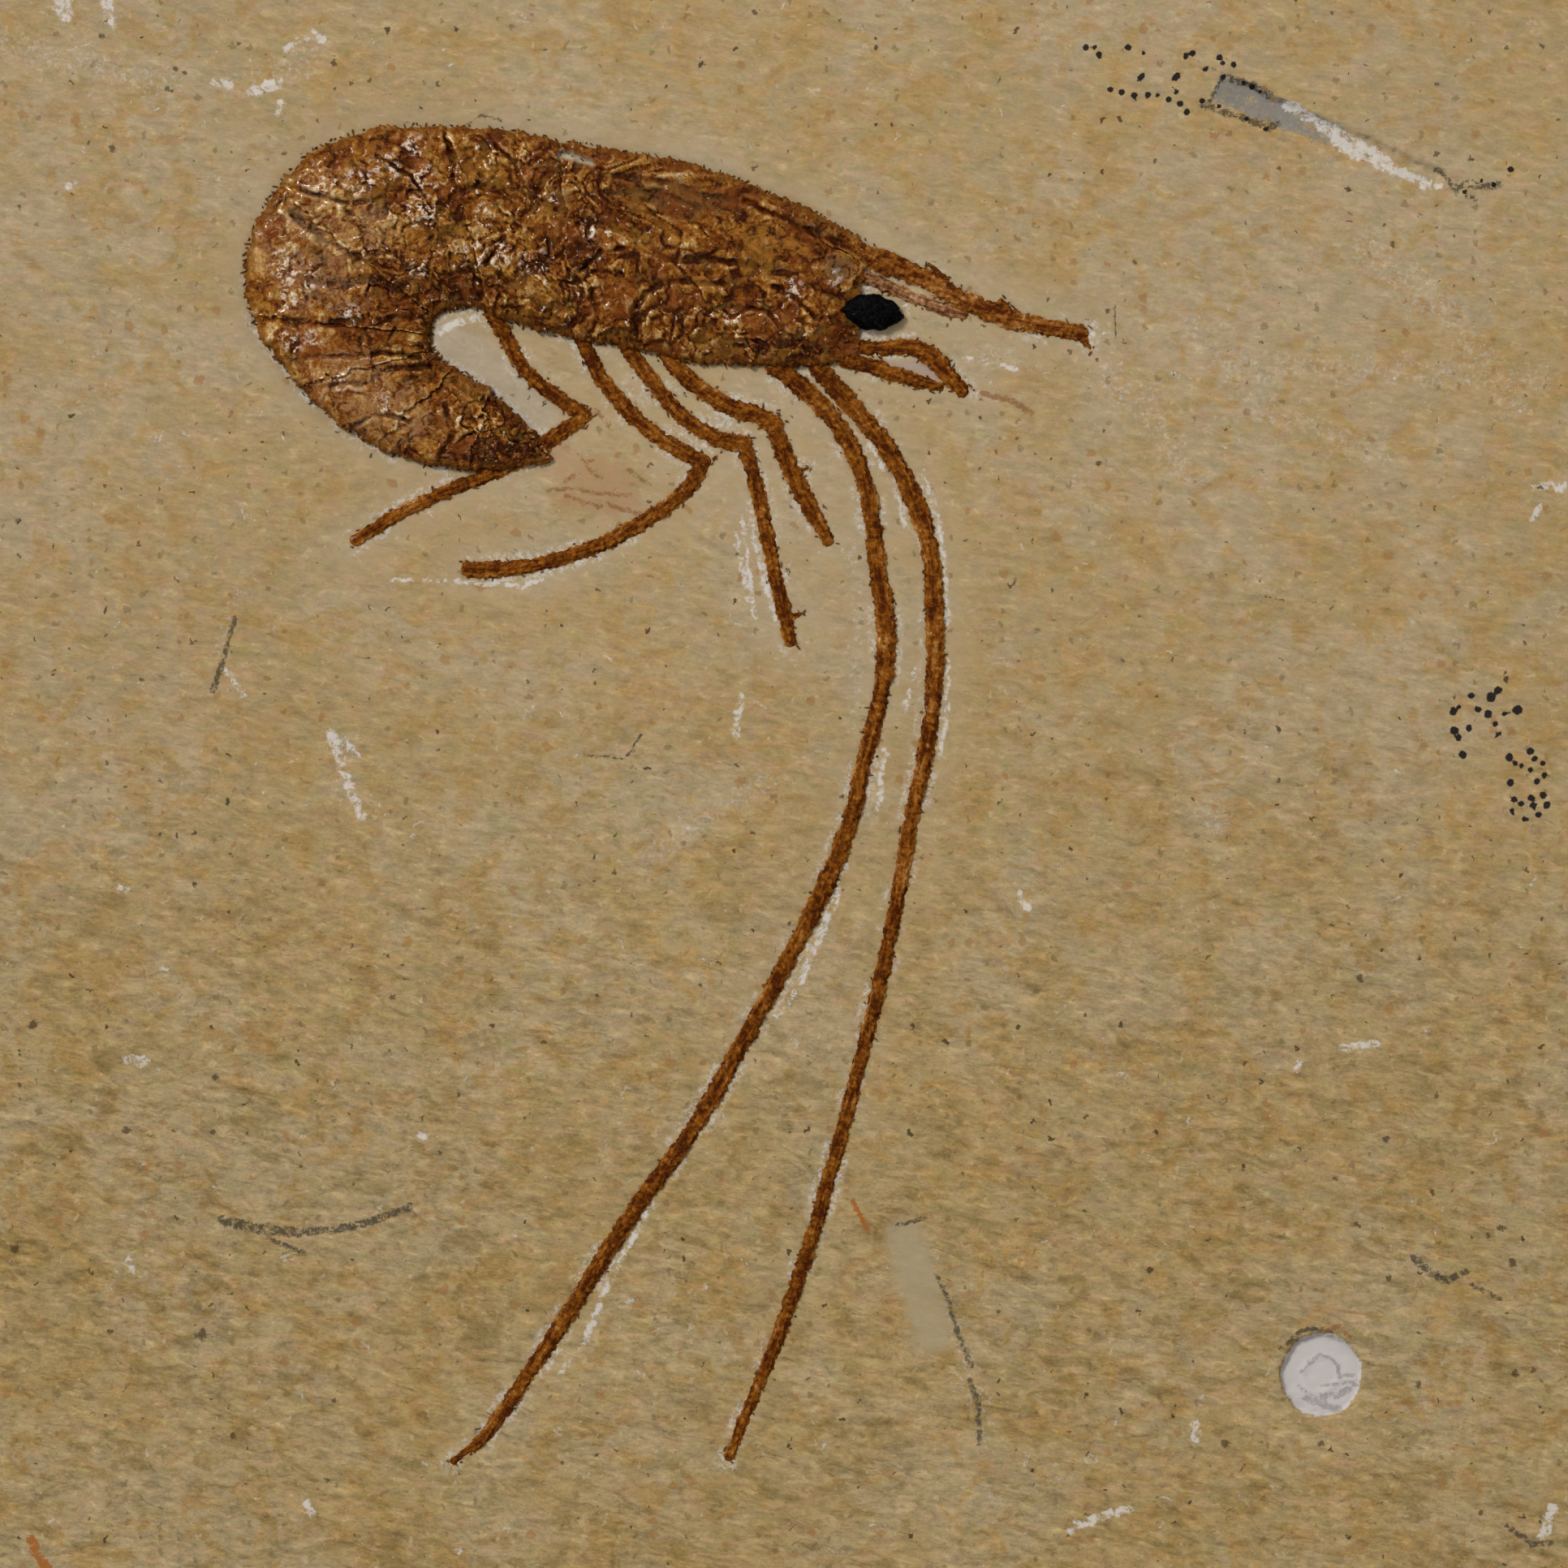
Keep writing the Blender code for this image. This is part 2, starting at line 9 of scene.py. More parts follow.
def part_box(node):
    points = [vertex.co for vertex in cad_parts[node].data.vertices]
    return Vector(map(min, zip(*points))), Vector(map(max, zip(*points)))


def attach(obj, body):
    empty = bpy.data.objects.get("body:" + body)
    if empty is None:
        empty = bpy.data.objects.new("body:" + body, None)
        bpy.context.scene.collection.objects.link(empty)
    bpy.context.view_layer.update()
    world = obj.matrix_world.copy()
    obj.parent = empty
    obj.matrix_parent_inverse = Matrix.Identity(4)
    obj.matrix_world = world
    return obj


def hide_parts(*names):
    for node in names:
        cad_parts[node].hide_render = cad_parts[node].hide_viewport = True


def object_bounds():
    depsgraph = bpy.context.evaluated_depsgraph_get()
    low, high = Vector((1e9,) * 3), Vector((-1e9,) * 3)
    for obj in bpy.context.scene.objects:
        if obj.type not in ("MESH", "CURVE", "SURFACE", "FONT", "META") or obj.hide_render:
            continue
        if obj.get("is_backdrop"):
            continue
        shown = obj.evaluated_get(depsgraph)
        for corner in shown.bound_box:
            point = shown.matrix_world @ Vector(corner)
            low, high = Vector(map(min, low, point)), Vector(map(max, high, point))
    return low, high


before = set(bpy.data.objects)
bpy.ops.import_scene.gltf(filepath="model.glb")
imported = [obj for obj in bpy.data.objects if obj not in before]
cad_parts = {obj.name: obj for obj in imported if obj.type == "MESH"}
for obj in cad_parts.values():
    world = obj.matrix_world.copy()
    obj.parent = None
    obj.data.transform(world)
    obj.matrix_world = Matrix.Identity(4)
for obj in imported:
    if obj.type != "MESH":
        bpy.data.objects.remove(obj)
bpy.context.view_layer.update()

bpy.context.scene.view_settings.view_transform = "Standard"
# The tilts of the shell's broken plates come from this draw, which is the same in each run
noise.seed_set(4)

# Limestone slab
# A plate of fine-grained lagoon limestone, split along its bedding and broken off at its edges, which show
# the thin beds. Its face was worked down with needles and scalpels until the shrimp lay free. It is modelled
# as one grid, whose rim is drawn down the broken edges to the flat underside.
MM = 0.001
slab_low, slab_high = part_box("limestone_slab")
FACE = slab_high.z
HALF_WIDTH = slab_high.x / MM
HALF_DEPTH = slab_high.y / MM
FINE_HALF = 56.5
FINE_CELLS = 226
COARSE_CELLS_X = 10
COARSE_CELLS_Y = 6
EDGE_BEDS = 20
EDGE_BLEND = 0.82
EDGE_WEAR = 0.35
PIT = (38.4, -42.2)
PIT_RADIUS = 3.0
PIT_DEPTH = 0.42
GOUGE = (39.6, 46.2)
GOUGE_TURN = math.radians(-22.8)
GOUGE_HALF_LENGTH = 9.9
GOUGE_DEPTH = 0.45

# Scratches of the needle that laid chalky powder bare, in millimetres: their points, and their width
CHALK_SCRATCHES = (
    (((9.9, 22.3), (10.9, 19.7), (11.3, 17.5), (11.5, 14.9), (11.7, 11.5)), 0.24),
    (((11.8, 8.9), (11.6, 5.0), (11.2, 2.1)), 0.26),
    (((9.5, 18.6), (9.9, 16.0)), 0.22),
    (((6.1, 24.3), (7.0, 22.6)), 0.26),
    (((8.2, 20.4), (8.6, 18.4)), 0.24),
    (((9.4, 8.2), (8.6, 5.3)), 0.4),
    (((7.2, 2.4), (6.7, -1.7)), 0.4),
    (((4.2, -5.6), (3.6, -8.3), (2.3, -11.5), (1.2, -14.1)), 0.6),
    (((0.8, -14.8), (-0.3, -16.5)), 0.4),
    (((-9.9, -30.7), (-11.4, -33.6), (-12.8, -36.2), (-14.1, -39.7), (-16.0, -42.0)), 0.4),
    (((-2.4, 18.9), (-1.6, 15.4), (-0.6, 11.7)), 0.34),
    (((-3.5, 18.0), (-2.6, 13.1)), 0.26),
    (((-3.0, 18.9), (-2.1, 11.9)), 0.3),
    (((-28.2, 14.6), (-23.5, 14.5), (-18.9, 14.1), (-17.3, 14.6)), 0.24),
    (((-40.1, 8.5), (-38.6, 6.3)), 0.5),
    (((-51.5, 56.2), (-51.4, 55.2)), 1.7),
    (((-48.4, 56.2), (-48.1, 54.0)), 0.8),
    (((-47.6, 52.4), (-47.5, 52.4)), 0.5),
    (((-24.4, 32.4), (-23.3, 33.1), (-21.4, 33.2)), 0.6),
    (((-40.7, 50.2), (-39.6, 50.0)), 0.7),
    (((-38.0, 49.5), (-36.9, 49.8), (-36.1, 50.0)), 0.9),
    (((-36.2, 48.0), (-35.9, 48.7)), 0.5),
    (((-35.7, 52.4), (-35.1, 52.7)), 0.5),
    (((-34.8, 53.1), (-34.2, 53.2)), 0.4),
    (((-33.7, 53.6), (-33.0, 53.2)), 0.7),
    (((-45.0, 48.2), (-44.8, 48.2)), 0.4),
    (((-51.1, 42.7), (-50.7, 42.8)), 0.6),
    (((-32.3, 3.8), (-31.7, 1.5), (-30.2, -2.3)), 0.8),
    (((-31.4, 3.0), (-30.5, 2.1)), 0.6),
    (((-3.1, 6.3), (-3.5, 3.4)), 0.55),
    (((-47.4, -7.5), (-46.9, -7.6)), 0.5),
    (((-46.9, -19.6), (-45.9, -19.8)), 0.9),
    (((-46.8, -34.0), (-46.5, -34.8)), 0.7),
    (((-26.0, -25.1), (-25.2, -25.2)), 0.4),
    (((-34.1, -51.4), (-33.6, -52.1)), 0.6),
    (((53.9, 21.2), (55.6, 21.2)), 0.8),
    (((53.4, 18.9), (54.1, 19.8)), 0.4),
    (((16.9, -7.8), (17.3, -8.8)), 0.6),
    (((21.7, -48.1), (23.0, -48.8)), 0.6),
    (((20.5, -53.0), (24.6, -51.8)), 0.7),
    (((54.9, -51.6), (54.3, -53.6)), 0.8),
    (((29.3, -45.8), (29.5, -46.8)), 0.7),
    (((39.7, -18.8), (42.6, -18.5)), 0.45),
    (((36.8, -19.9), (36.5, -20.5)), 0.4),
    (((19.4, 32.2), (23.7, 32.1)), 0.22),
    (((15.6, 29.9), (16.6, 29.6)), 0.3),
    (((12.8, 30.4), (13.4, 30.3)), 0.4),
    (((5.4, 35.2), (7.2, 35.5), (8.5, 34.9), (9.0, 33.8)), 0.5),
    (((5.4, 32.6), (6.6, 32.2)), 0.28),
    (((46.5, 42.8), (46.8, 42.8)), 0.5),
)
# Bright bruises in the gouge
GOUGE_BRUISES = (
    (((36.0, 48.4), (37.5, 47.6), (38.9, 46.8)), 0.7),
    (((39.4, 46.3), (41.2, 45.2), (42.7, 44.5)), 1.5),
    (((42.7, 44.4), (44.4, 43.6), (45.9, 42.8)), 0.7),
)
# Fainter rubs of the same powder
CHALK_RUBS = (
    (((-38.6, 14.4), (-39.7, 11.9), (-40.2, 8.5)), 0.7),
    (((23.0, 29.0), (26.0, 27.0), (28.4, 22.6)), 2.8),
    (((29.0, 33.0), (34.0, 27.0), (42.6, 23.5)), 1.8),
    (((14.0, 31.0), (18.6, 29.6)), 0.8),
    (((-1.0, 0.4), (-9.3, -5.0)), 1.4),
    (((-56.0, 53.0), (-44.0, 50.0)), 2.2),
    (((-39.0, 49.8), (-34.0, 51.6)), 2.4),
    (((32.0, 30.0), (54.0, 29.0)), 2.0),
    (((29.4, -2.0), (31.2, -2.6)), 1.8),
    (((33.4, 15.0), (34.8, 14.0)), 1.6),
    (((41.5, 38.0), (48.0, 33.0), (52.0, 27.0)), 3.0),
    (((4.8, 17.5), (5.4, 11.0), (4.9, 4.0)), 0.6),
    (((11.9, -37.4), (12.8, -40.8)), 0.9),
    (((12.8, -42.2), (14.0, -44.0)), 1.8),
    (((14.0, -45.4), (14.2, -46.8)), 0.8),
    (((14.4, -50.2), (14.9, -50.9)), 1.6),
)
# Dark needle marks, pencil lines and hairs
DARK_SCRATCHES = (
    (((-39.2, 11.9), (-39.9, 9.4)), 0.35),
    (((-40.0, 9.0), (-40.8, 6.7)), 0.6),
    (((8.1, -31.5), (9.0, -31.3), (10.0, -31.0)), 0.34),
    (((-40.1, -31.2), (-36.9, -31.9), (-34.6, -32.0)), 0.95),
    (((-34.6, -32.0), (-32.0, -31.8), (-29.9, -31.4), (-26.7, -30.2)), 0.7),
    (((-36.6, -32.6), (-34.2, -33.5)), 0.4),
    (((-14.3, 2.1), (-11.4, 1.8), (-10.2, 3.5)), 0.14),
    (((34.4, 13.4), (35.6, 13.1)), 0.18),
    (((23.6, 34.2), (23.7, 31.9)), 0.16),
    (((-23.0, 46.9), (-21.6, 47.8), (-20.2, 47.4)), 0.14),
    (((15.8, 14.5), (16.2, 14.0), (16.6, 14.6)), 0.22),
    (((10.9, -35.1), (11.8, -36.9), (12.4, -39.2), (13.4, -41.6)), 0.4),
    (((13.3, -42.6), (13.9, -44.4), (13.8, -45.4)), 0.5),
    (((13.9, -45.6), (14.0, -47.2)), 0.4),
    (((31.3, 50.5), (33.1, 50.1), (34.7, 49.2)), 0.64),
    (((30.4, 48.7), (31.3, 50.4)), 0.34),
    (((30.0, 48.5), (32.7, 47.6), (34.7, 46.8), (35.2, 47.2)), 0.62),
    (((46.6, 43.9), (47.4, 43.3), (48.0, 42.2)), 0.4),
    (((47.8, 42.6), (49.0, 42.9), (49.8, 42.6), (51.1, 42.8)), 0.62),
    (((48.8, 42.0), (49.4, 41.8)), 0.4),
    (((36.0, -40.0), (36.7, -39.2), (37.6, -38.9), (39.1, -39.1)), 0.34),
    (((44.9, -33.8), (46.2, -34.9), (47.2, -35.5), (48.8, -34.8)), 0.6),
    (((49.2, -35.8), (51.2, -36.8)), 0.34),
    (((51.7, -53.0), (53.4, -54.3), (54.8, -54.2)), 0.5),
)
# Grey needle traces in the chalky floor of the pit
PIT_TRACES = (
    (((37.0, -42.0), (37.6, -41.3), (38.2, -40.8), (39.0, -41.0), (39.6, -41.6), (39.7, -42.3)), 0.34),
    (((39.7, -42.4), (40.7, -42.2)), 0.3),
    (((38.4, -43.0), (40.4, -42.8)), 0.2),
    (((37.1, -43.9), (37.8, -44.3)), 0.3),
    (((37.6, -43.8), (38.6, -44.4), (39.6, -44.7)), 0.7),
    (((38.4, -43.8), (39.6, -43.7), (40.4, -43.2)), 0.6),
    (((40.0, -42.7), (40.9, -42.9)), 0.4),
    (((36.8, -43.0), (37.3, -43.4)), 0.3),
)
# Dots of black ink and brown spots: their place and radius
INK_DOTS = (
    (21.6, 52.6, 0.2), (22.2, 52.6, 0.15), (22.5, 52.1, 0.2), (24.6, 52.6, 0.2), (25.7, 52.2, 0.13),
    (29.2, 52.2, 0.2), (28.7, 51.9, 0.15), (31.1, 51.9, 0.2), (32.1, 51.4, 0.2), (31.3, 51.5, 0.15),
    (30.1, 51.0, 0.13), (28.0, 50.5, 0.13), (25.5, 50.5, 0.13), (23.3, 49.6, 0.2), (24.1, 49.4, 0.2),
    (25.0, 49.2, 0.2), (26.0, 49.2, 0.2), (26.7, 49.2, 0.15), (27.5, 48.9, 0.2), (28.0, 49.4, 0.15),
    (28.3, 48.6, 0.2), (28.8, 48.0, 0.2), (51.9, 43.9, 0.2), (31.4, 50.5, 0.16), (32.8, 50.1, 0.14),
    (33.4, 49.8, 0.18), (34.0, 49.5, 0.13), (29.9, 48.8, 0.18), (31.1, 48.4, 0.14), (33.0, 47.5, 0.14),
    (34.4, 46.8, 0.16), (48.6, 42.3, 0.16), (49.8, 43.1, 0.14), (50.7, 42.8, 0.17),
    (47.8, 5.2, 0.26), (48.2, 5.5, 0.14), (49.1, 6.3, 0.2), (50.5, 6.2, 0.3), (51.0, 6.7, 0.24),
    (49.6, 5.3, 0.2), (50.3, 5.0, 0.26), (52.4, 5.3, 0.3), (51.4, 5.0, 0.15), (50.8, 4.3, 0.17),
    (48.9, 4.0, 0.22), (47.9, 3.8, 0.26), (48.2, 3.3, 0.2), (48.5, 2.1, 0.24), (49.8, 3.5, 0.12),
    (51.1, 3.5, 0.12), (51.8, 1.9, 0.26), (52.2, 1.5, 0.17), (52.7, 1.3, 0.17), (53.3, 2.3, 0.24),
    (53.6, 1.8, 0.2), (54.2, 1.5, 0.16), (53.3, 1.0, 0.17), (54.3, 0.6, 0.2), (53.8, 0.2, 0.2),
    (51.9, 0.1, 0.22), (52.2, -1.1, 0.2), (52.7, -1.4, 0.2), (52.0, -1.9, 0.17), (52.9, -2.5, 0.17),
    (53.4, -1.0, 0.2), (53.5, -1.5, 0.17), (54.2, -0.8, 0.24), (54.5, -1.5, 0.24), (53.9, -2.2, 0.2),
)
BROWN_SPOTS = (
    (-48.7, 53.4, 0.24), (-39.0, 52.9, 0.2), (-43.4, 51.1, 0.2), (-42.8, 50.8, 0.15), (-44.1, 49.7, 0.22),
    (-43.7, 49.5, 0.15), (-47.9, 45.4, 0.25), (-53.6, -17.2, 0.4), (-40.6, -20.9, 0.26), (-27.9, -15.2, 0.24),
    (-41.6, -39.3, 0.45), (-55.0, -33.2, 0.35), (-32.1, -44.0, 0.2), (-32.6, -49.7, 0.2), (-39.4, -46.6, 0.22),
    (-48.1, -39.1, 0.2), (-47.0, -24.7, 0.3), (25.0, 37.3, 0.2), (23.1, 33.8, 0.2), (20.4, 30.9, 0.24),
    (22.4, 30.3, 0.16), (18.8, 34.6, 0.15), (22.4, 22.9, 0.2), (22.9, 22.9, 0.17), (43.5, 38.6, 0.2),
    (43.0, -25.4, 0.25), (52.0, -34.2, 0.32), (51.2, -31.7, 0.3), (26.2, -34.7, 0.28), (40.9, -31.5, 0.2),
    (38.4, -47.1, 0.26), (31.5, -47.1, 0.34), (52.3, -42.1, 0.3), (53.6, -41.8, 0.26), (45.3, -42.9, 0.28),
    (49.8, -52.0, 0.24), (43.2, -35.3, 0.26), (39.4, -28.2, 0.22), (46.3, -29.2, 0.24), (41.1, -13.9, 0.3),
)
# Orange fibres
ORANGE_TRACES = (
    (((4.9, -29.8), (5.5, -31.0), (6.0, -31.9)), 0.3),
    (((-53.8, -54.0), (-53.4, -55.0), (-52.6, -56.0)), 0.8),
)
# Thin brown traces: the rays that are left of the tail fan, the end of an antennule, and rust by the pit
BROWN_TRACES = (
    (((38.6, -38.9), (39.6, -38.8), (40.4, -39.4)), 0.4),
    (((14.2, 27.9), (16.2, 27.4), (17.6, 26.5)), 0.46),
    (((-14.1, 22.7), (-13.7, 22.2), (-13.0, 21.8)), 0.26),
    (((-11.1, 22.4), (-10.4, 21.9), (-9.6, 21.4)), 0.3),
    (((-15.7, 21.6), (-15.0, 22.0)), 0.26),
    (((-14.8, 23.7), (-14.3, 23.1), (-13.6, 23.1)), 0.24),
    (((-15.6, 20.6), (-14.3, 20.2), (-13.1, 19.8)), 0.26),
    (((-12.6, 20.0), (-11.1, 19.5), (-9.9, 19.2)), 0.34),
    (((-16.9, 21.0), (-15.4, 21.1), (-12.6, 20.7), (-10.9, 20.6)), 0.26),
    (((-13.4, 26.7), (-12.5, 25.6)), 0.3),
)
TAIL_FILM = (
    (((-16.6, 23.4), (-14.4, 22.6), (-11.6, 21.2)), 3.0),
    (((-15.8, 20.8), (-13.1, 20.0), (-9.9, 19.4)), 1.1),
)
ANTENNULE_FILM = (((6.9, 29.9), (8.9, 29.9), (10.9, 29.3)), 0.9)
CURL_POCKET = (((-24.0, 31.6), (-22.4, 30.8), (-20.2, 29.0), (-17.6, 26.4)), 2.6)
# A smooth grey smear beside the front antenna's lower end
GREY_SMEAR = (((8.6, -32.4), (9.6, -35.6), (10.7, -39.2)), 2.9)


def cad_tree(node_name):
    """A search tree over the faces of one CAD node."""
    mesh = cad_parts[node_name].data
    return BVHTree.FromPolygons([v.co for v in mesh.vertices], [p.vertices for p in mesh.polygons])


def start_from(add_primitive, **sizes):
    """Deselect everything, add a primitive, and return the new object."""
    bpy.ops.object.select_all(action="DESELECT")
    add_primitive(**sizes)
    return bpy.context.active_object


def get_points(piece):
    """The places of a mesh's vertices as rows of x, y and z in metres."""
    flat = np.empty(len(piece.data.vertices) * 3)
    piece.data.vertices.foreach_get("co", flat)
    return flat.reshape(-1, 3)


def set_points(piece, points):
    """Move a mesh's vertices to rows of x, y and z in metres."""
    piece.data.vertices.foreach_set("co", np.ascontiguousarray(points, dtype=float).ravel())
    piece.data.update()


def set_mask(piece, name, values):
    """Store one number from 0 to 1 at each vertex, for the piece's material to read."""
    mask = piece.data.attributes.new(name, "FLOAT", "POINT")
    mask.data.foreach_set("value", np.clip(values, 0, 1).astype(float))


def rough(x, y, size, octaves=1, seed=0.0):
    """Smooth noise of about -1 to 1 at each place, in lumps of the given size in millimetres."""
    return np.array([
        noise.fractal(Vector((a, b, seed)), 0.8, 2.1, octaves, noise_basis="PERLIN_NEW")
        for a, b in zip(x / size, y / size)
    ])


def ease(value, low, high):
    """0 below the low limit, 1 above the high one, and a smooth rise between them."""
    share = np.clip((value - low) / (high - low), 0, 1)
    return share * share * (3 - 2 * share)


def line_gap(x, y, line):
    """Distance in millimetres from each place to a line of straight stretches."""
    gap = np.full(len(x), np.inf)
    for (ax, ay), (bx, by) in zip(line, line[1:]):
        length = (bx - ax) ** 2 + (by - ay) ** 2
        share = np.clip(((x - ax) * (bx - ax) + (y - ay) * (by - ay)) / length, 0, 1)
        gap = np.minimum(gap, np.hypot(x - ax - share * (bx - ax), y - ay - share * (by - ay)))
    return gap


def drawn(x, y, strokes, softness=0.25):
    """1 on strokes that are each given as a line and a width, and 0 away from them, with soft sides."""
    mask = np.zeros(len(x))
    for line, width in strokes:
        mask = np.maximum(mask, 1 - ease(line_gap(x, y, line), 0.3 * width, 0.5 * width + softness))
    return mask


def spotted(x, y, spots):
    """0.5 on the rims of round spots, rising to 1 at their middles, and falling to 0 outside them."""
    mask = np.zeros(len(x))
    for spot_x, spot_y, radius in spots:
        mask = np.maximum(mask, 1 - np.hypot(x - spot_x, y - spot_y) / (2 * radius))
    return mask


def in_gouge(x, y):
    """Place along the gouge, from -1 at its left end to 1, and across it, from -1 to 1 at its edges."""
    turn_x, turn_y = math.cos(GOUGE_TURN), math.sin(GOUGE_TURN)
    along = ((x - GOUGE[0]) * turn_x + (y - GOUGE[1]) * turn_y) / GOUGE_HALF_LENGTH
    across = (y - GOUGE[1]) * turn_x - (x - GOUGE[0]) * turn_y
    half_width = 1.25 - 0.55 * np.clip((along + 1) / 2, 0, 1)
    return along, across / half_width


def stone_height(x, y, shrimp_gap=0.0):
    """Height of the worked face above the CAD's flat one, in millimetres."""
    height = 0.15 * rough(x, y, 24, 2, 3.3) + 0.045 * rough(x, y, 4.2, 3, 9.1)
    return height - 0.1 * np.exp(-np.square(shrimp_gap / 1.8))


def stone_detail(x, y):
    """Fine grain, the round pit and the gouge, in millimetres of height."""
    grain = 0.035 * rough(x, y, 1.0, 3, 5.7)
    radius = np.hypot((x - PIT[0]) * 1.05, y - PIT[1]) / PIT_RADIUS
    radius = radius + 0.07 * rough(x, y, 1.3, 2, 8.8)
    pit = PIT_DEPTH * (1 - ease(radius, 0.95, 1.03)) - 0.07 * np.exp(-np.square((radius - 0.42) / 0.07))
    along, across = in_gouge(x, y)
    wall = 1 - ease(np.abs(across + 0.25 * rough(x, y, 0.9, 2, 1.9)), 0.55, 1.05)
    gouge = GOUGE_DEPTH * wall * (1 - ease(np.abs(along), 0.72, 1.0))
    return grain - np.maximum(pit, 0) - gouge


def grid_lines(fine_cells, coarse_cells, half):
    """Grid lines that lie close together over the fossil and wider apart near the slab's edges."""
    outer = np.linspace(FINE_HALF, half, coarse_cells + 1)[1:]
    return np.concatenate([-outer[::-1], np.linspace(-FINE_HALF, FINE_HALF, fine_cells + 1), outer])


def edge_radius(tree, angles, heights):
    """Distance from the slab's middle to its broken edge, in millimetres, at each angle and height."""
    radii = []
    for angle, height in zip(angles, heights):
        outward = Vector((math.cos(angle), math.sin(angle), 0))
        hit = tree.ray_cast(outward * 0.2 + Vector((0, 0, height)), -outward)[0]
        radii.append(math.hypot(hit.x, hit.y) / MM)
    return np.array(radii)


def select_only(piece, kind, chosen):
    """Select just the faces or edges that a row of true and false names, and stay in edit mode."""
    bpy.ops.object.mode_set(mode="EDIT")
    bpy.ops.mesh.select_mode(type=kind)
    bpy.ops.mesh.select_all(action="DESELECT")
    bpy.ops.object.mode_set(mode="OBJECT")
    parts = piece.data.polygons if kind == "FACE" else piece.data.edges
    parts.foreach_set("select", chosen)
    bpy.ops.object.mode_set(mode="EDIT")


slab_tree = cad_tree("limestone_slab")
shrimp_tree = cad_tree("fossil_shrimp")
x_lines = grid_lines(FINE_CELLS, COARSE_CELLS_X, HALF_WIDTH)
y_lines = grid_lines(FINE_CELLS, COARSE_CELLS_Y, HALF_DEPTH)
slab = start_from(
    bpy.ops.mesh.primitive_grid_add,
    x_subdivisions=len(x_lines) - 1, y_subdivisions=len(y_lines) - 1, size=2,
)
slab.name = "stone_slab"

# The grid is stretched to the outline that the slab has at its upper face
points = get_points(slab)
x = x_lines[np.rint((points[:, 0] + 1) / 2 * (len(x_lines) - 1)).astype(int)]
y = y_lines[np.rint((points[:, 1] + 1) / 2 * (len(y_lines) - 1)).astype(int)]
angle = np.arctan2(y, x)
compass = np.linspace(-math.pi, math.pi, 1441)
outline = edge_radius(slab_tree, compass, np.full(len(compass), FACE - 0.1 * MM))
share = np.maximum(np.abs(x) / HALF_WIDTH, np.abs(y) / HALF_DEPTH)
plain = np.hypot(x, y) / np.maximum(share, 1e-6)
stretch = 1 + (np.interp(angle, compass, outline) / np.maximum(plain, 1e-6) - 1) * ease(share, EDGE_BLEND, 1)
set_points(slab, np.column_stack([x * stretch * MM, y * stretch * MM, np.full(len(x), FACE)]))

# The rim is drawn down to the underside, cut into thin beds, and closed below
bpy.ops.object.mode_set(mode="EDIT")
bpy.ops.mesh.select_mode(type="EDGE")
bpy.ops.mesh.select_all(action="DESELECT")
bpy.ops.mesh.select_non_manifold()
bpy.ops.mesh.extrude_region_move(TRANSFORM_OT_translate={"value": (0, 0, -FACE)})
bpy.ops.mesh.edge_face_add()
bpy.ops.object.mode_set(mode="OBJECT")
ends = np.empty(len(slab.data.edges) * 2, int)
slab.data.edges.foreach_get("vertices", ends)
heights = get_points(slab)[ends.reshape(-1, 2), 2]
select_only(slab, "EDGE", np.abs(heights[:, 0] - heights[:, 1]) > FACE / 2)
bpy.ops.mesh.subdivide_edgering(number_cuts=EDGE_BEDS)
bpy.ops.object.mode_set(mode="OBJECT")

# The cells of the pit, the gouge and the marks are made finer, for crisp sides
centres = np.empty(len(slab.data.polygons) * 3)
slab.data.polygons.foreach_get("center", centres)
x, y, z = centres.reshape(-1, 3).T / MM
along, across = in_gouge(x, y)
marked = drawn(x, y, CHALK_SCRATCHES + DARK_SCRATCHES + ORANGE_TRACES + BROWN_TRACES, 0.25) > 0
marked |= spotted(x, y, INK_DOTS + BROWN_SPOTS) > 0.01
marked |= np.hypot(x - PIT[0], y - PIT[1]) < PIT_RADIUS + 0.6
marked |= (np.abs(along) < 1.05) & (np.abs(across) < 1.6)
select_only(slab, "FACE", marked & (z > FACE / MM - 0.1))
bpy.ops.mesh.subdivide(number_cuts=2)
bpy.ops.object.mode_set(mode="OBJECT")

# Upper face: gentle swells, grain, pit and gouge, a little lower where the preparator followed the shrimp
points = get_points(slab)
on_face = points[:, 2] > FACE - 0.01 * MM
x, y = points[on_face, 0] / MM, points[on_face, 1] / MM
shrimp_gap = np.array([
    shrimp_tree.find_nearest(Vector((a * MM, b * MM, FACE)))[3] / MM for a, b in zip(x, y)
])
rim_gap = 1 - np.hypot(x, y) / np.interp(np.arctan2(y, x), compass, outline)
relief = stone_height(x, y, shrimp_gap) + stone_detail(x, y) - EDGE_WEAR * np.exp(-rim_gap / 0.006)
points[on_face, 2] = FACE + relief * MM

# Broken edges: the CAD's beds, split finer, with a rough fracture face
edge = ~on_face
angle = np.arctan2(points[edge, 1], points[edge, 0])
height = np.clip(points[edge, 2], 0.05 * MM, FACE - 0.1 * MM)
radius = edge_radius(slab_tree, angle, height)
around = angle * 65
up = points[edge, 2] / MM
bed = np.floor(up * 1.3 + 0.35 * rough(around, up, 22, 1, 2.2))
bed_step = np.array([noise.cell(Vector((b * 1.7, 0.5, 3.1))) for b in bed])
radius += 0.5 * (bed_step - 0.5) * (0.6 + 0.6 * rough(around, bed * 9.0, 14, 1, 6.1))
radius += 0.28 * rough(around, up * 2.2, 2.6, 3, 7.7) - 0.25
points[edge, 0] = np.cos(angle) * radius * MM
points[edge, 1] = np.sin(angle) * radius * MM
set_points(slab, points)
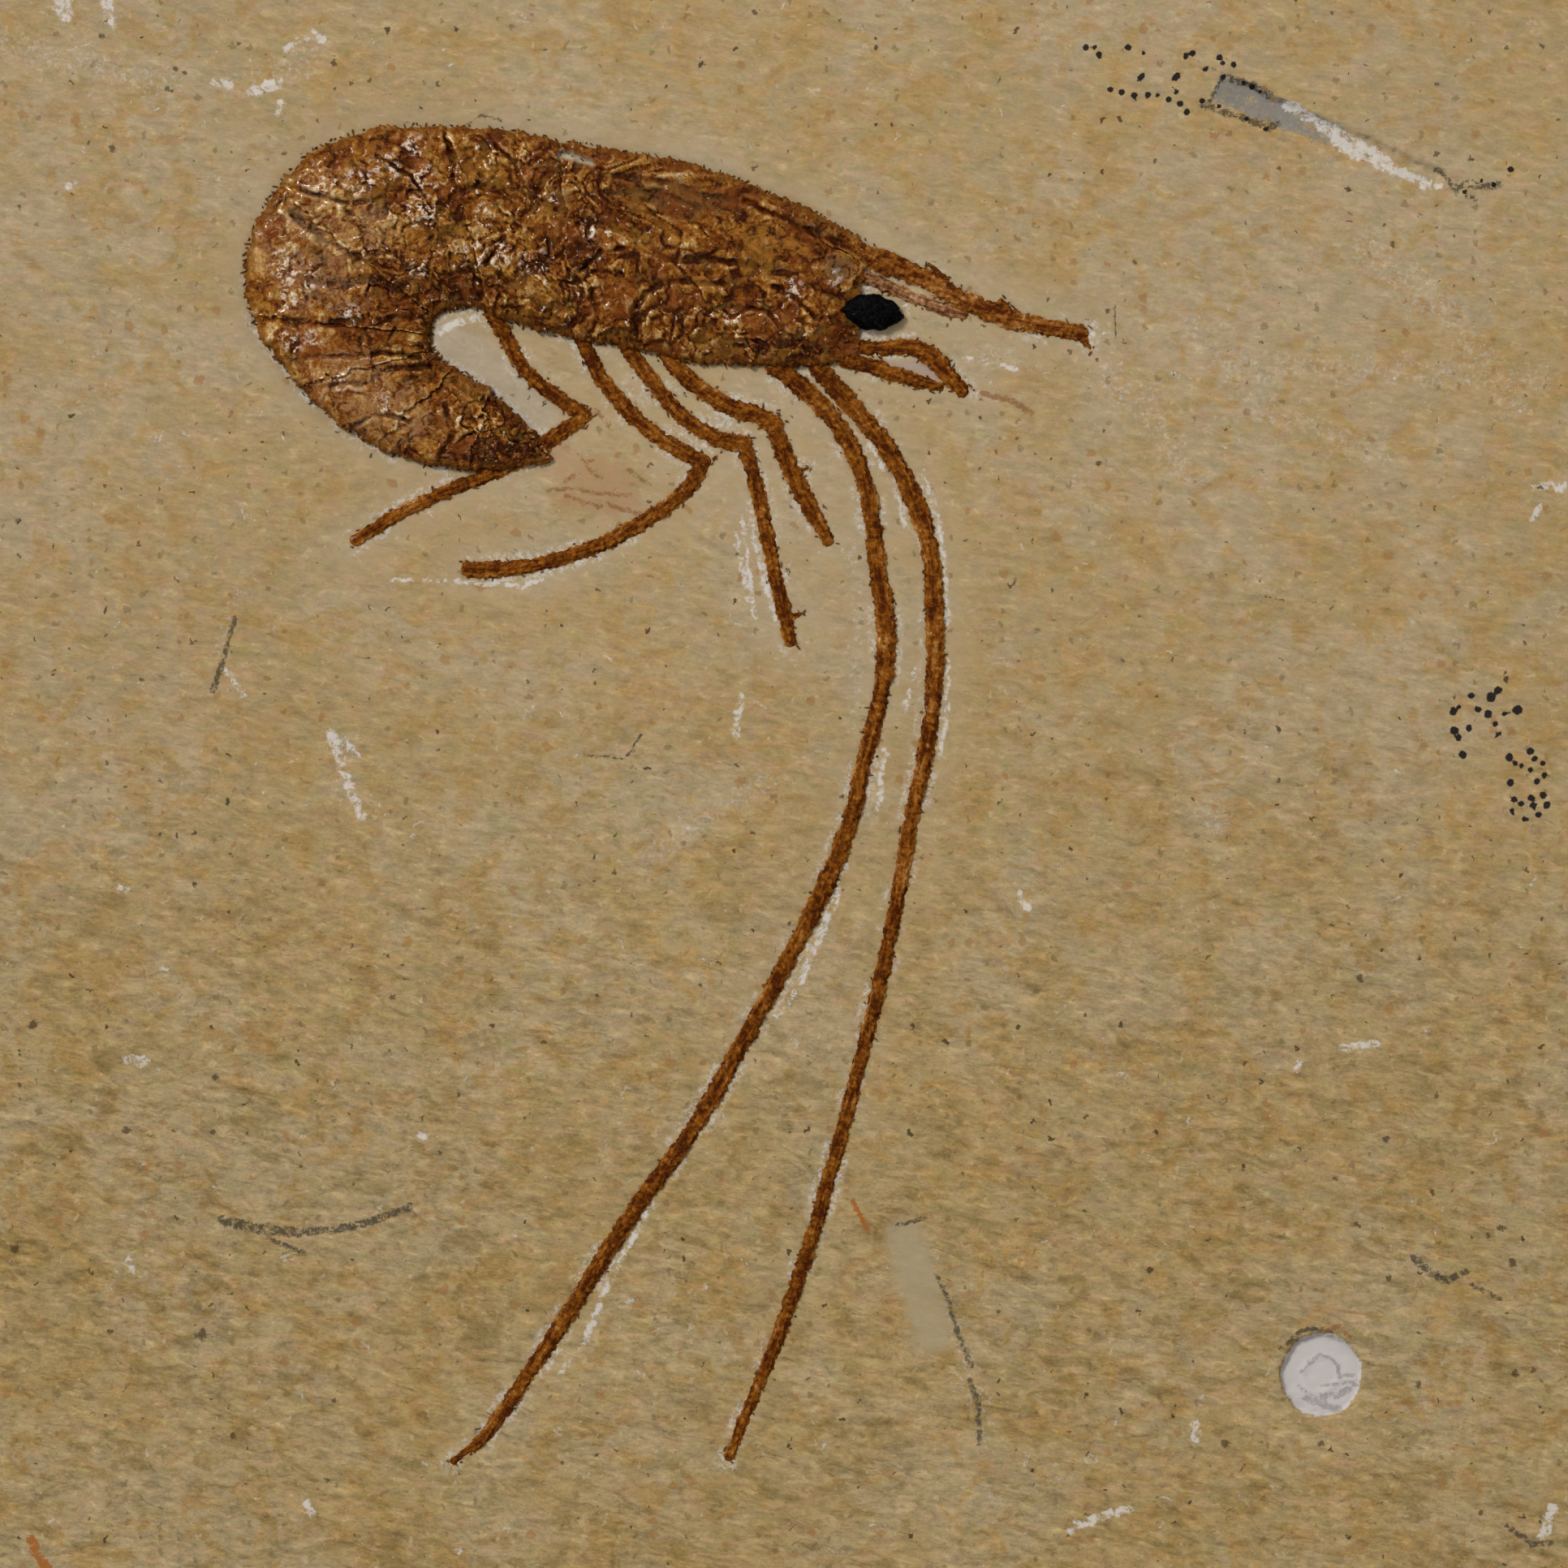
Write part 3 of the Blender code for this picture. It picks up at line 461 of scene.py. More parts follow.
bpy.ops.object.shade_smooth_by_angle(angle=math.radians(45))


def set_face_mask(name, values):
    """Store a mask that is given for the upper face's vertices alone."""
    whole = np.zeros(len(on_face))
    whole[on_face] = values
    set_mask(slab, name, whole)


ragged = rough(x, y, 0.9, 3, 4.4)
along, across = in_gouge(x, y)
set_face_mask("near", 1 - shrimp_gap / 4)
set_face_mask("chalk", drawn(x + 0.16 * ragged, y + 0.1 * ragged, CHALK_SCRATCHES))
set_face_mask("rub", drawn(x + 0.8 * ragged, y + 0.5 * ragged, CHALK_RUBS, 0.9))
set_face_mask("bruise", drawn(x + 0.3 * ragged, y + 0.2 * ragged, GOUGE_BRUISES, 0.28))
set_face_mask("dark_line", drawn(x + 0.1 * ragged, y, DARK_SCRATCHES, 0.14))
set_face_mask("ink", spotted(x + 0.07 * ragged, y, INK_DOTS))
set_face_mask("spot", spotted(x + 0.12 * ragged, y, BROWN_SPOTS))
set_face_mask("orange", drawn(x + 0.1 * ragged, y, ORANGE_TRACES, 0.18))
set_face_mask("brown", drawn(x + 0.1 * ragged, y, BROWN_TRACES, 0.18))
set_face_mask("tail_film", drawn(x + 0.5 * ragged, y + 0.3 * ragged, TAIL_FILM, 0.8))
set_face_mask("lilac_film", drawn(x + 0.1 * ragged, y, [ANTENNULE_FILM], 0.3))
set_face_mask("pocket", drawn(x, y, [CURL_POCKET], 0.7))
set_face_mask("smear", drawn(x + 0.3 * ragged, y + 0.2 * ragged, [GREY_SMEAR], 0.5))
pit_gap = np.hypot((x - PIT[0]) * 1.05, y - PIT[1]) + 0.15 * ragged
set_face_mask("pit", 1 - ease(pit_gap, PIT_RADIUS - 0.15, PIT_RADIUS + 0.1))
set_face_mask("pit_trace", drawn(x + 0.1 * ragged, y, PIT_TRACES, 0.12))
inside_gouge = 1 - ease(np.abs(across) + 0.25 * ragged, 0.75, 1.1)
set_face_mask("gouge", inside_gouge * (1 - ease(along, -0.45, 0.75)) * ease(along, -1.0, -0.94))


def add_node(tree, kind, inputs=(), **options):
    """Add a shader node, set its options, and fill its inputs with values or with other nodes' outputs."""
    made = tree.nodes.new(kind)
    for option, value in options.items():
        setattr(made, option, value)
    for name, value in dict(inputs).items():
        if isinstance(value, bpy.types.NodeSocket):
            tree.links.new(value, made.inputs[name])
        else:
            made.inputs[name].default_value = value
    return made


def calculate(tree, operation, first, second=0.5, third=0.5, clamp=False):
    """The result of a sum on one, two or three numbers."""
    inputs = {0: first, 1: second, 2: third}
    return add_node(tree, "ShaderNodeMath", inputs, operation=operation, use_clamp=clamp).outputs[0]


def remap(tree, value, low, high, to_low=0.0, to_high=1.0, kind="SMOOTHSTEP"):
    """A value carried over from one range to another, and held at its ends."""
    inputs = {"Value": value, "From Min": low, "From Max": high, "To Min": to_low, "To Max": to_high}
    return add_node(tree, "ShaderNodeMapRange", inputs, interpolation_type=kind).outputs[0]


def blend(tree, amount, first, second, mode="MIX"):
    """A mix of two colours."""
    inputs = {0: amount, 6: first, 7: second}
    return add_node(tree, "ShaderNodeMix", inputs, data_type="RGBA", blend_type=mode).outputs[2]


def mottle(tree, where, scale, detail=4.0, roughness=0.6, distortion=0.0):
    """A noise value from 0 to 1, with the given number of lumps per millimetre."""
    inputs = {"Vector": where, "Scale": scale, "Detail": detail, "Roughness": roughness, "Distortion": distortion}
    return add_node(tree, "ShaderNodeTexNoise", inputs).outputs[0]


def colour_ramp(tree, value, *stops):
    """Colours at places from 0 to 1."""
    ramp = add_node(tree, "ShaderNodeValToRGB", {0: value})
    elements = ramp.color_ramp.elements
    while len(elements) < len(stops):
        elements.new(0.5)
    for element, (place, colour) in zip(elements, stops):
        element.position = place
        element.color = (*colour, 1)
    return ramp.outputs[0]


def millimetres(tree, turn=0.0, stretch=(1, 1, 1)):
    """Object coordinates in millimetres, turned about Z and then multiplied by the given factors."""
    place = add_node(tree, "ShaderNodeTexCoord").outputs["Object"]
    scale = [MM / factor for factor in stretch]
    inputs = {"Vector": place, "Rotation": (0, 0, turn), "Scale": scale}
    return add_node(tree, "ShaderNodeMapping", inputs, vector_type="TEXTURE").outputs[0]


def read_mask(tree, name):
    """The number that a mesh stores under a name."""
    return add_node(tree, "ShaderNodeAttribute", {}, attribute_name=name).outputs["Fac"]


def new_material(name, **values):
    """A material whose Principled shader takes the given values, with its node tree and shader."""
    material = bpy.data.materials.new(name)
    material.use_nodes = True
    shader = material.node_tree.nodes["Principled BSDF"]
    for socket, value in values.items():
        shader.inputs[socket.replace("_", " ")].default_value = value
    return material, material.node_tree, shader


def new_group(name, inputs, outputs):
    """An empty node group with the named inputs and outputs, and its two end nodes."""
    group = bpy.data.node_groups.new(name, "ShaderNodeTree")
    for socket, kind, value in inputs:
        made = group.interface.new_socket(socket, in_out="INPUT", socket_type=kind)
        if value is not None:
            made.default_value = value
    for socket, kind in outputs:
        group.interface.new_socket(socket, in_out="OUTPUT", socket_type=kind)
    return group, group.nodes.new("NodeGroupInput").outputs, group.nodes.new("NodeGroupOutput").inputs


def use_group(tree, group, **inputs):
    """Place a node group, fill its inputs with values or with other nodes' outputs, and return its mask."""
    made = tree.nodes.new("ShaderNodeGroup")
    made.node_tree = group
    for name, value in inputs.items():
        if isinstance(value, bpy.types.NodeSocket):
            tree.links.new(value, made.inputs[name])
        else:
            made.inputs[name].default_value = value
    return made.outputs[0]


# Scattered dots: round grains, kept in those cells whose red value lies within Share / 2 of Pick
dots, given, result = new_group(
    "dots",
    [("Gap", "NodeSocketFloat", 0.0), ("Cell", "NodeSocketColor", None), ("Size", "NodeSocketFloat", 0.2),
     ("Pick", "NodeSocketFloat", 0.15), ("Share", "NodeSocketFloat", 0.3)],
    [("Mask", "NodeSocketFloat")],
)
parts = add_node(dots, "ShaderNodeSeparateColor", {0: given["Cell"]})
reach = calculate(dots, "MULTIPLY", given["Size"], calculate(dots, "ADD", parts.outputs[1], 0.4))
grain = remap(dots, given["Gap"], reach, calculate(dots, "MULTIPLY", reach, 0.55))
half = calculate(dots, "MULTIPLY", given["Share"], 0.5)
kept = calculate(dots, "COMPARE", parts.outputs[0], given["Pick"], half)
dots.links.new(calculate(dots, "MULTIPLY", grain, kept), result["Mask"])

# A soft mask broken up by a finer one, as powder or stain lies on grain. Cover is the share that stays.
broken, given, result = new_group(
    "broken_up",
    [("Mask", "NodeSocketFloat", 1.0), ("Grain", "NodeSocketFloat", 0.5), ("Cover", "NodeSocketFloat", 0.5)],
    [("Mask", "NodeSocketFloat")],
)
shifted = calculate(broken, "MULTIPLY", calculate(broken, "SUBTRACT", given["Grain"], 0.5), 2.4)
thick = calculate(broken, "ADD", calculate(broken, "MULTIPLY", given["Mask"], given["Cover"]), shifted)
sharp = remap(broken, thick, 0.38, 0.68)
there = remap(broken, given["Mask"], 0.02, 0.3)
broken.links.new(calculate(broken, "MULTIPLY", sharp, there), result["Mask"])

# Finish of the limestone: tan, mottled with ochre, olive and grey, speckled, and with the marks listed above
STONE_TAN = (0.360, 0.252, 0.118, 1)
STONE_PALE = (0.49, 0.375, 0.21, 1)
STONE_OCHRE = (0.385, 0.228, 0.070, 1)
STONE_RUST = (0.27, 0.125, 0.035, 1)
STONE_COOL = (0.275, 0.225, 0.135, 1)
STONE_GREEN = (0.30, 0.245, 0.095, 1)
STONE_PINK = (0.42, 0.262, 0.155, 1)
STONE_OLIVE = (0.215, 0.150, 0.058, 1)
STONE_GREY = (0.380, 0.295, 0.184, 1)
STONE_SMEAR = (0.13, 0.085, 0.032, 1)
STONE_SPECK = (0.045, 0.028, 0.012, 1)
STONE_LOWER = (0.92, 0.90, 0.80, 1)
POCKET_GREY = (0.365, 0.295, 0.205, 1)
SMEAR_GREY = (0.340, 0.270, 0.160, 1)
CHALK = (0.60, 0.56, 0.52, 1)
PIT_CHALK = (0.485, 0.45, 0.43, 1)
PIT_GREY = (0.24, 0.22, 0.21, 1)
GOUGE_GREY = (0.185, 0.185, 0.178, 1)
INK = (0.006, 0.006, 0.009, 1)
PENCIL = (0.046, 0.039, 0.028, 1)
TRACE_ORANGE = (0.30, 0.088, 0.010, 1)
TRACE_BROWN = (0.215, 0.090, 0.032, 1)
TRACE_PINK = (0.355, 0.212, 0.112, 1)
TRACE_LILAC = (0.33, 0.24, 0.20, 1)

limestone, tree, shader = new_material("limestone", Roughness=0.88, Specular_IOR_Level=0.08)
where = millimetres(tree)
place_parts = add_node(tree, "ShaderNodeSeparateXYZ", {0: where}).outputs
lower = remap(tree, place_parts[1], 26, -34)
leftward = remap(tree, place_parts[0], -5, -50)
lying = millimetres(tree, math.radians(-12), (0.6, 1.3, 1))
broad = mottle(tree, where, 0.11, 3, 0.55, 0.4)
veils = mottle(tree, where, 0.22, 3, 0.6, 0.5)
patch = mottle(tree, where, 0.42, 4, 0.62, 0.8)
tints = mottle(tree, lying, 0.95, 4, 0.66, 0.6)
grain_coarse = mottle(tree, millimetres(tree, math.radians(-7), (0.55, 1.35, 1)), 1.35, 5, 0.72, 0.5)
grain_fine = mottle(tree, where, 4.6, 2, 0.75)
powder = mottle(tree, where, 2.6, 5, 0.85, 0.3)
flakes_of_chalk = mottle(tree, where, 1.5, 6, 0.78, 0.5)
streak = mottle(tree, lying, 0.5, 5, 0.7, 0.8)
scrape = mottle(tree, lying, 1.3, 4, 0.72, 0.5)

# Close to the fossil the face was rubbed smooth
patchy = remap(tree, patch, 0.35, 0.65, -0.3, 0.3, "LINEAR")
halo = remap(tree, calculate(tree, "ADD", read_mask(tree, "near"), patchy), 0.35, 0.9)
halo = calculate(tree, "MULTIPLY", halo, remap(tree, place_parts[1], -16, 14, 0.25, 1.0))
calm = calculate(tree, "SUBTRACT", 1.0, calculate(tree, "MULTIPLY", halo, 0.6))

colour = blend(tree, calculate(tree, "MULTIPLY", remap(tree, broad, 0.42, 0.60), 0.7), STONE_TAN, STONE_GREY)
for value, low, high, strength, tint in (
    (patch, 0.50, 0.62, 0.58, STONE_OCHRE),
    (patch, 0.47, 0.36, 0.45, STONE_COOL),
    (tints, 0.52, 0.66, 0.45, STONE_GREEN),
    (tints, 0.48, 0.34, 0.45, STONE_PINK),
    (scrape, 0.56, 0.70, 0.35, STONE_PALE),
):
    amount = calculate(tree, "MULTIPLY", remap(tree, value, low, high), strength)
    colour = blend(tree, amount, colour, tint)
olive = remap(tree, lower, 0, 1, 0.15, 0.6, "LINEAR")
colour = blend(tree, calculate(tree, "MULTIPLY", remap(tree, streak, 0.51, 0.63), olive), colour, STONE_OLIVE)
colour = blend(tree, calculate(tree, "MULTIPLY", halo, 0.45), colour, STONE_GREY)
colour = blend(tree, calculate(tree, "MULTIPLY", read_mask(tree, "pocket"), 0.85), colour, POCKET_GREY)
shade = remap(tree, grain_coarse, 0.25, 0.75, -0.32, 0.32, "LINEAR")
shade = calculate(tree, "ADD", shade, remap(tree, grain_fine, 0.25, 0.75, -0.12, 0.12, "LINEAR"))
shade = calculate(tree, "ADD", shade, remap(tree, scrape, 0.25, 0.75, -0.20, 0.20, "LINEAR"))
shade = calculate(tree, "ADD", shade, remap(tree, patch, 0.3, 0.7, 0.10, -0.10, "LINEAR"))
shade = calculate(tree, "MULTIPLY", shade, calm)
shade = calculate(tree, "MULTIPLY", shade, remap(tree, lower, 0, 1, 0.65, 1.1))
shade = calculate(tree, "ADD", shade, calculate(tree, "ADD", 1.0, calculate(tree, "MULTIPLY", leftward, -0.05)))
shades = add_node(tree, "ShaderNodeCombineColor", {0: shade, 1: shade, 2: shade})
colour = blend(tree, 1.0, colour, shades.outputs[0], "MULTIPLY")
colour = blend(tree, lower, colour, STONE_LOWER, "MULTIPLY")

# Dark mineral specks and smears, pale crystals, and short hair-like stains, most of them in the lower half
wander = add_node(tree, "ShaderNodeTexNoise", {"Vector": where, "Scale": 2.2, "Detail": 2.0})
wander = add_node(tree, "ShaderNodeVectorMath", {0: wander.outputs[1], "Scale": 0.9}, operation="SCALE")
jagged = add_node(tree, "ShaderNodeVectorMath", {0: where, 1: wander.outputs[0]}, operation="ADD").outputs[0]
thin = calculate(tree, "ADD", calculate(tree, "MULTIPLY", lower, 0.7), 0.3)
smear = calculate(tree, "MULTIPLY", remap(tree, mottle(tree, lying, 1.2, 5, 0.8, 0.6), 0.60, 0.69), 0.65)
colour = blend(tree, calculate(tree, "MULTIPLY", smear, thin), colour, STONE_SMEAR)
for turn, factors, per_mm, low, strength, tint, areas in (
    (-14, (0.30, 2.0, 1), 1.0, 0.605, 0.62, STONE_SMEAR, remap(tree, veils, 0.54, 0.43)),
    (-4, (0.34, 2.2, 1), 0.9, 0.615, 0.55, STONE_RUST, remap(tree, broad, 0.46, 0.57)),
    (33, (0.60, 1.4, 1), 1.1, 0.640, 0.80, PENCIL, remap(tree, broad, 0.54, 0.43)),
):
    hairs = mottle(tree, millimetres(tree, math.radians(turn), factors), per_mm, 5, 0.75, 1.2)
    areas = calculate(tree, "MULTIPLY", areas, strength)
    hairs = calculate(tree, "MULTIPLY", remap(tree, hairs, low, low + 0.05), areas)
    colour = blend(tree, calculate(tree, "MULTIPLY", hairs, thin), colour, tint)
slant = add_node(tree, "ShaderNodeCombineXYZ", {0: place_parts[2], 1: place_parts[2]}).outputs[0]
draped = add_node(tree, "ShaderNodeVectorMath", {0: jagged, 1: slant}, operation="ADD").outputs[0]
cells = add_node(tree, "ShaderNodeTexVoronoi", {"Vector": draped, "Scale": 0.8}, voronoi_dimensions="2D").outputs
for size, pick, share, strength, tint in (
    (0.14, 0.015, 0.03, 0.85, STONE_SPECK),
    (0.10, 0.08, 0.10, 0.7, STONE_SPECK),
    (0.17, 0.21, 0.16, 0.5, STONE_SMEAR),
    (0.28, 0.31, 0.04, 0.55, STONE_RUST),
    (0.13, 0.40, 0.14, 0.5, STONE_PALE),
):
    mask = use_group(tree, dots, Gap=cells[0], Cell=cells[1], Size=size, Pick=pick, Share=share)
    colour = blend(tree, calculate(tree, "MULTIPLY", mask, strength), colour, tint)

# Flecks of chalk, and the powder that the needle left along the shrimp's edges
fleck = remap(tree, mottle(tree, where, 0.8, 5, 0.75, 0.8), 0.64, 0.69)
fleck = calculate(tree, "MULTIPLY", fleck, remap(tree, powder, 0.42, 0.55))
dusty = remap(tree, veils, 0.47, 0.56)
dusty = calculate(tree, "MULTIPLY", dusty, remap(tree, read_mask(tree, "near"), 0.82, 0.94))
dusty = calculate(tree, "MULTIPLY", dusty, remap(tree, place_parts[1], 40, 34))
dusty = calculate(tree, "MULTIPLY", dusty, remap(tree, powder, 0.47, 0.58))
colour = blend(tree, calculate(tree, "MULTIPLY", calculate(tree, "MAXIMUM", fleck, dusty), 0.58), colour, CHALK)

colour = blend(tree, calculate(tree, "MULTIPLY", read_mask(tree, "smear"), 0.8), colour, SMEAR_GREY)

# Marks: rubbed and scratched chalk, the pit, the gouge, dark scratches, dots, and traces of the tail fan
for name, grain, cover, strength, tint in (
    ("tail_film", grain_coarse, 0.7, 0.75, TRACE_PINK),
    ("lilac_film", powder, 0.8, 0.8, TRACE_LILAC),
    ("rub", powder, 0.40, 0.32, CHALK),
    ("pit", powder, 1.0, 0.95, PIT_CHALK),
    ("pit_trace", powder, 0.66, 0.7, PIT_GREY),
    ("gouge", powder, 0.70, 0.85, GOUGE_GREY),
    ("bruise", flakes_of_chalk, 0.66, 0.76, CHALK),
    ("chalk", flakes_of_chalk, 0.55, 0.74, CHALK),
    ("dark_line", powder, 0.62, 0.85, PENCIL),
    ("brown", powder, 0.66, 0.75, TRACE_BROWN),
    ("orange", powder, 0.72, 0.85, TRACE_ORANGE),
):
    mask = use_group(tree, broken, Mask=read_mask(tree, name), Grain=grain, Cover=cover)
    colour = blend(tree, calculate(tree, "MULTIPLY", mask, strength), colour, tint)
for name, rough_by, low, strength, tint in (
    ("ink", 0.9, 0.33, 0.96, INK),
    ("spot", 1.9, 0.48, 0.75, STONE_SPECK),
):
    mask = read_mask(tree, name)
    frayed = calculate(tree, "ADD", mask, remap(tree, powder, 0, 1, -rough_by / 2, rough_by / 2, "LINEAR"))
    amount = calculate(tree, "MULTIPLY", remap(tree, frayed, low, low + 0.14), remap(tree, mask, 0.02, 0.2))
    colour = blend(tree, calculate(tree, "MULTIPLY", amount, strength), colour, tint)
tree.links.new(colour, shader.inputs["Base Color"])
coarse = mottle(tree, millimetres(tree, math.radians(-7), (0.55, 1.35, 1)), 1.35, 4, 0.74)
relief = calculate(tree, "MULTIPLY_ADD", coarse, 0.8, calculate(tree, "MULTIPLY", grain_fine, 0.2))
strength = calculate(tree, "MULTIPLY", calm, 0.35)
bump = add_node(tree, "ShaderNodeBump", {"Height": relief, "Strength": strength, "Distance": 0.16 * MM})
tree.links.new(bump.outputs[0], shader.inputs["Normal"])
slab.data.materials.append(limestone)
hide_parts("limestone_slab")
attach(slab, "root")

# Shell of the body
# The shrimp lies on its side. Its horny shell, a carapace and six somites with the telson, is now a thin,
# brittle, dark brown skin, crushed flat on the stone by the mud above it, crumpled into folds and crumbs,
# and varnished. It is one skin over the CAD's body, with its ragged rim drawn down into the stone.
BODY_STATIONS = (
    ((5.9, 38.6), (5.1, 30.6), 0.9),
    ((2.8, 40.6), (2.6, 29.9), 1.2),
    ((-0.3, 41.9), (-0.3, 29.8), 1.4),
    ((-3.8, 43.4), (-3.8, 30.0), 1.5),
    ((-7.3, 44.5), (-7.3, 30.2), 1.6),
    ((-11.9, 45.3), (-11.4, 31.2), 1.6),
    ((-16.0, 46.0), (-14.8, 31.8), 1.7),
    ((-20.6, 46.8), (-18.9, 32.8), 1.8),
    ((-25.3, 47.0), (-21.5, 33.9), 1.8),
    ((-29.6, 46.7), (-23.1, 34.0), 1.8),
    ((-33.4, 45.3), (-24.2, 33.8), 1.7),
    ((-36.4, 42.4), (-24.9, 33.4), 1.6),
    ((-38.1, 39.2), (-25.2, 33.0), 1.5),
    ((-38.5, 36.0), (-25.3, 32.5), 1.4),
    ((-37.6, 32.5), (-25.3, 31.9), 1.4),
    ((-35.4, 29.4), (-25.2, 31.2), 1.4),
    ((-32.5, 26.3), (-24.7, 30.4), 1.4),
    ((-28.8, 24.0), (-23.4, 29.6), 1.3),
    ((-25.0, 22.7), (-21.9, 28.7), 1.2),
    ((-21.2, 22.4), (-20.1, 27.3), 1.0),
    ((-18.4, 22.8), (-18.3, 25.6), 0.8),
    ((-16.6, 23.2), (-16.9, 24.2), 0.6),
)
BODY_ROWS = 690
BODY_COLUMNS = 122
BODY_RIM = 0.2
BODY_SINK = 0.8
# Stations where a somite slips under the one before it
SOMITE_EDGES = (6.0, 7.8, 11.0, 13.7, 15.3, 16.9, 18.6)
SOMITE_STEP = 0.1

# Folds that were pressed into the shell, in millimetres: their points, and their width
FOLDS = (
    (((-17.9, 41.9), (-16.4, 41.0), (-13.8, 40.1), (-11.7, 39.5), (-9.9, 38.6), (-8.4, 37.5), (-6.3, 37.4),
      (-3.3, 37.3), (0.2, 36.4)), 0.24),
    (((-10.5, 32.3), (-10.8, 33.8), (-9.9, 35.0), (-8.7, 35.8), (-6.6, 35.9), (-4.2, 35.6)), 0.22),
    (((-12.0, 43.4), (-8.7, 43.1), (-5.1, 41.9), (-3.3, 41.6)), 0.16),
    (((-13.0, 42.2), (-9.4, 42.4), (-6.0, 41.2)), 0.14),
    (((-2.7, 41.6), (0.3, 40.1), (3.3, 38.9), (5.7, 38.0)), 0.2),
    (((-35.6, 41.0), (-34.4, 40.1), (-32.9, 38.9), (-30.8, 37.7), (-28.4, 37.0)), 0.24),
    (((-33.8, 35.9), (-31.7, 35.6), (-29.6, 35.9), (-27.2, 35.6)), 0.34),
    (((-35.6, 33.1), (-32.6, 32.9), (-29.6, 33.2), (-26.6, 33.2)), 0.24),
    (((-34.1, 30.5), (-31.4, 30.5), (-28.7, 30.8), (-26.0, 30.5)), 0.16),
    (((-32.3, 28.4), (-29.6, 28.7), (-28.1, 29.6), (-25.4, 29.9)), 0.2),
    (((-24.2, 26.9), (-23.6, 25.1), (-24.5, 23.6)), 0.2),
    (((-23.6, 28.7), (-21.8, 27.5), (-19.4, 26.9), (-17.9, 25.4)), 0.2),
    (((-24.2, 46.4), (-23.6, 44.6), (-23.6, 43.1)), 0.2),
    (((-24.5, 41.0), (-23.3, 42.2), (-21.8, 42.8), (-20.3, 42.2)), 0.22),
    (((-20.6, 38.0), (-21.2, 37.1), (-20.1, 36.2), (-19.4, 35.6)), 0.2),
    (((-16.7, 43.7), (-17.6, 42.5), (-17.9, 41.0)), 0.22),
    (((-30.8, 25.6), (-28.4, 26.4), (-26.6, 25.9)), 0.14),
    (((-14.5, 36.5), (-13.0, 38.0), (-11.0, 38.2)), 0.14),
    (((-2.0, 35.9), (0.5, 35.0), (2.2, 33.4)), 0.16),
    (((-35.8, 43.0), (-31.5, 41.4), (-28.6, 41.8)), 0.14),
    (((-29.0, 44.8), (-26.6, 43.4), (-25.2, 41.2)), 0.13),
    (((-20.6, 45.6), (-19.2, 44.4), (-18.6, 42.9)), 0.13),
    (((-3.6, 34.2), (-1.2, 33.6), (0.6, 31.9)), 0.14),
    (((-13.9, 35.2), (-13.2, 33.4), (-13.9, 32.0)), 0.16),
)
# Patches where the shell is broken to crumbs, is left smooth, or has a tint of its own:
# centre, half length, half width and turn
CRUMBLED = (
    ((-18.2, 36.4), 7.2, 4.8, 10),
    ((-25.6, 38.6), 4.6, 4.4, 0),
    ((-6.8, 32.0), 9.6, 2.6, 0),
    ((-19.8, 44.0), 4.6, 2.0, 0),
    ((-19.8, 24.6), 3.6, 1.7, -25),
)
SMOOTH = (
    ((-10.6, 38.7), 2.7, 0.85, -25),
    ((-16.1, 41.5), 1.4, 1.3, 0),
    ((-28.2, 26.6), 3.4, 2.0, -10),
    ((-30.8, 44.4), 2.4, 1.3, 12),
    ((-37.1, 37.4), 1.5, 2.0, 0),
    ((3.9, 36.8), 1.6, 1.0, 0),
    ((-31.6, 31.7), 3.6, 1.1, 0),
)
PALE_SHELL = (
    ((-37.3, 37.5), 1.3, 2.3, 0),
    ((-27.9, 26.4), 4.0, 2.2, -12),
    ((4.0, 36.8), 1.9, 1.2, 0),
    ((-31.6, 34.4), 3.0, 0.9, 0),
    ((-29.2, 39.6), 3.2, 2.0, -25),
    ((-29.6, 27.6), 6.4, 3.4, -35),
    ((-33.4, 38.6), 4.2, 6.2, 0),
)
OCHRE_SHELL = (
    ((-10.6, 38.7), 2.9, 1.0, -25),
    ((-37.4, 33.6), 0.9, 1.7, 12),
    ((-1.4, 39.0), 4.4, 1.1, -14),
    ((-24.8, 38.8), 4.2, 2.6, 0),
    ((-17.4, 40.9), 1.0, 1.0, 0),
)
GREY_SHELL = (
    ((-7.9, 41.9), 5.2, 1.7, -10),
    ((-15.6, 42.0), 1.2, 1.2, 0),
    ((4.0, 37.0), 1.4, 0.9, 0),
)
DARK_SHELL = (
    ((1.2, 30.8), 4.8, 1.1, 0),
    ((-32.6, 35.7), 1.5, 0.5, 0),
    ((-20.4, 23.6), 4.0, 0.9, 0),
    ((-22.6, 35.2), 3.4, 1.1, 12),
    ((-14.6, 38.4), 3.0, 1.6, 30),
    ((-35.4, 41.6), 1.6, 0.9, -40),
)
BACK_SLIT = (((-16.0, 45.0), (-13.8, 44.4)), 0.36)
# Painted highlights, where the varnished shell catches the light: place and radius
GLINTS = (
    (-32.5, 42.6, 0.6), (-30.3, 43.0, 0.7), (-28.4, 44.0, 0.7), (-26.4, 45.6, 0.5), (-25.8, 43.4, 0.6),
    (-25.9, 40.9, 0.8), (-34.6, 36.0, 0.9), (-35.3, 34.8, 0.6), (-35.6, 37.2, 0.8), (-31.0, 33.6, 0.5),
    (-35.0, 31.5, 0.6), (-33.7, 32.0, 0.4), (-26.0, 36.7, 0.5), (-17.8, 37.2, 0.7), (-20.1, 37.7, 0.5),
    (-21.3, 40.5, 0.5), (-22.0, 37.7, 0.6), (-13.8, 39.5, 0.5), (-31.6, 28.6, 0.5), (-3.6, 33.4, 0.4),
    (0.6, 35.4, 0.5), (-28.6, 27.4, 0.5), (3.6, 36.2, 0.4), (-16.4, 41.8, 0.4),
)


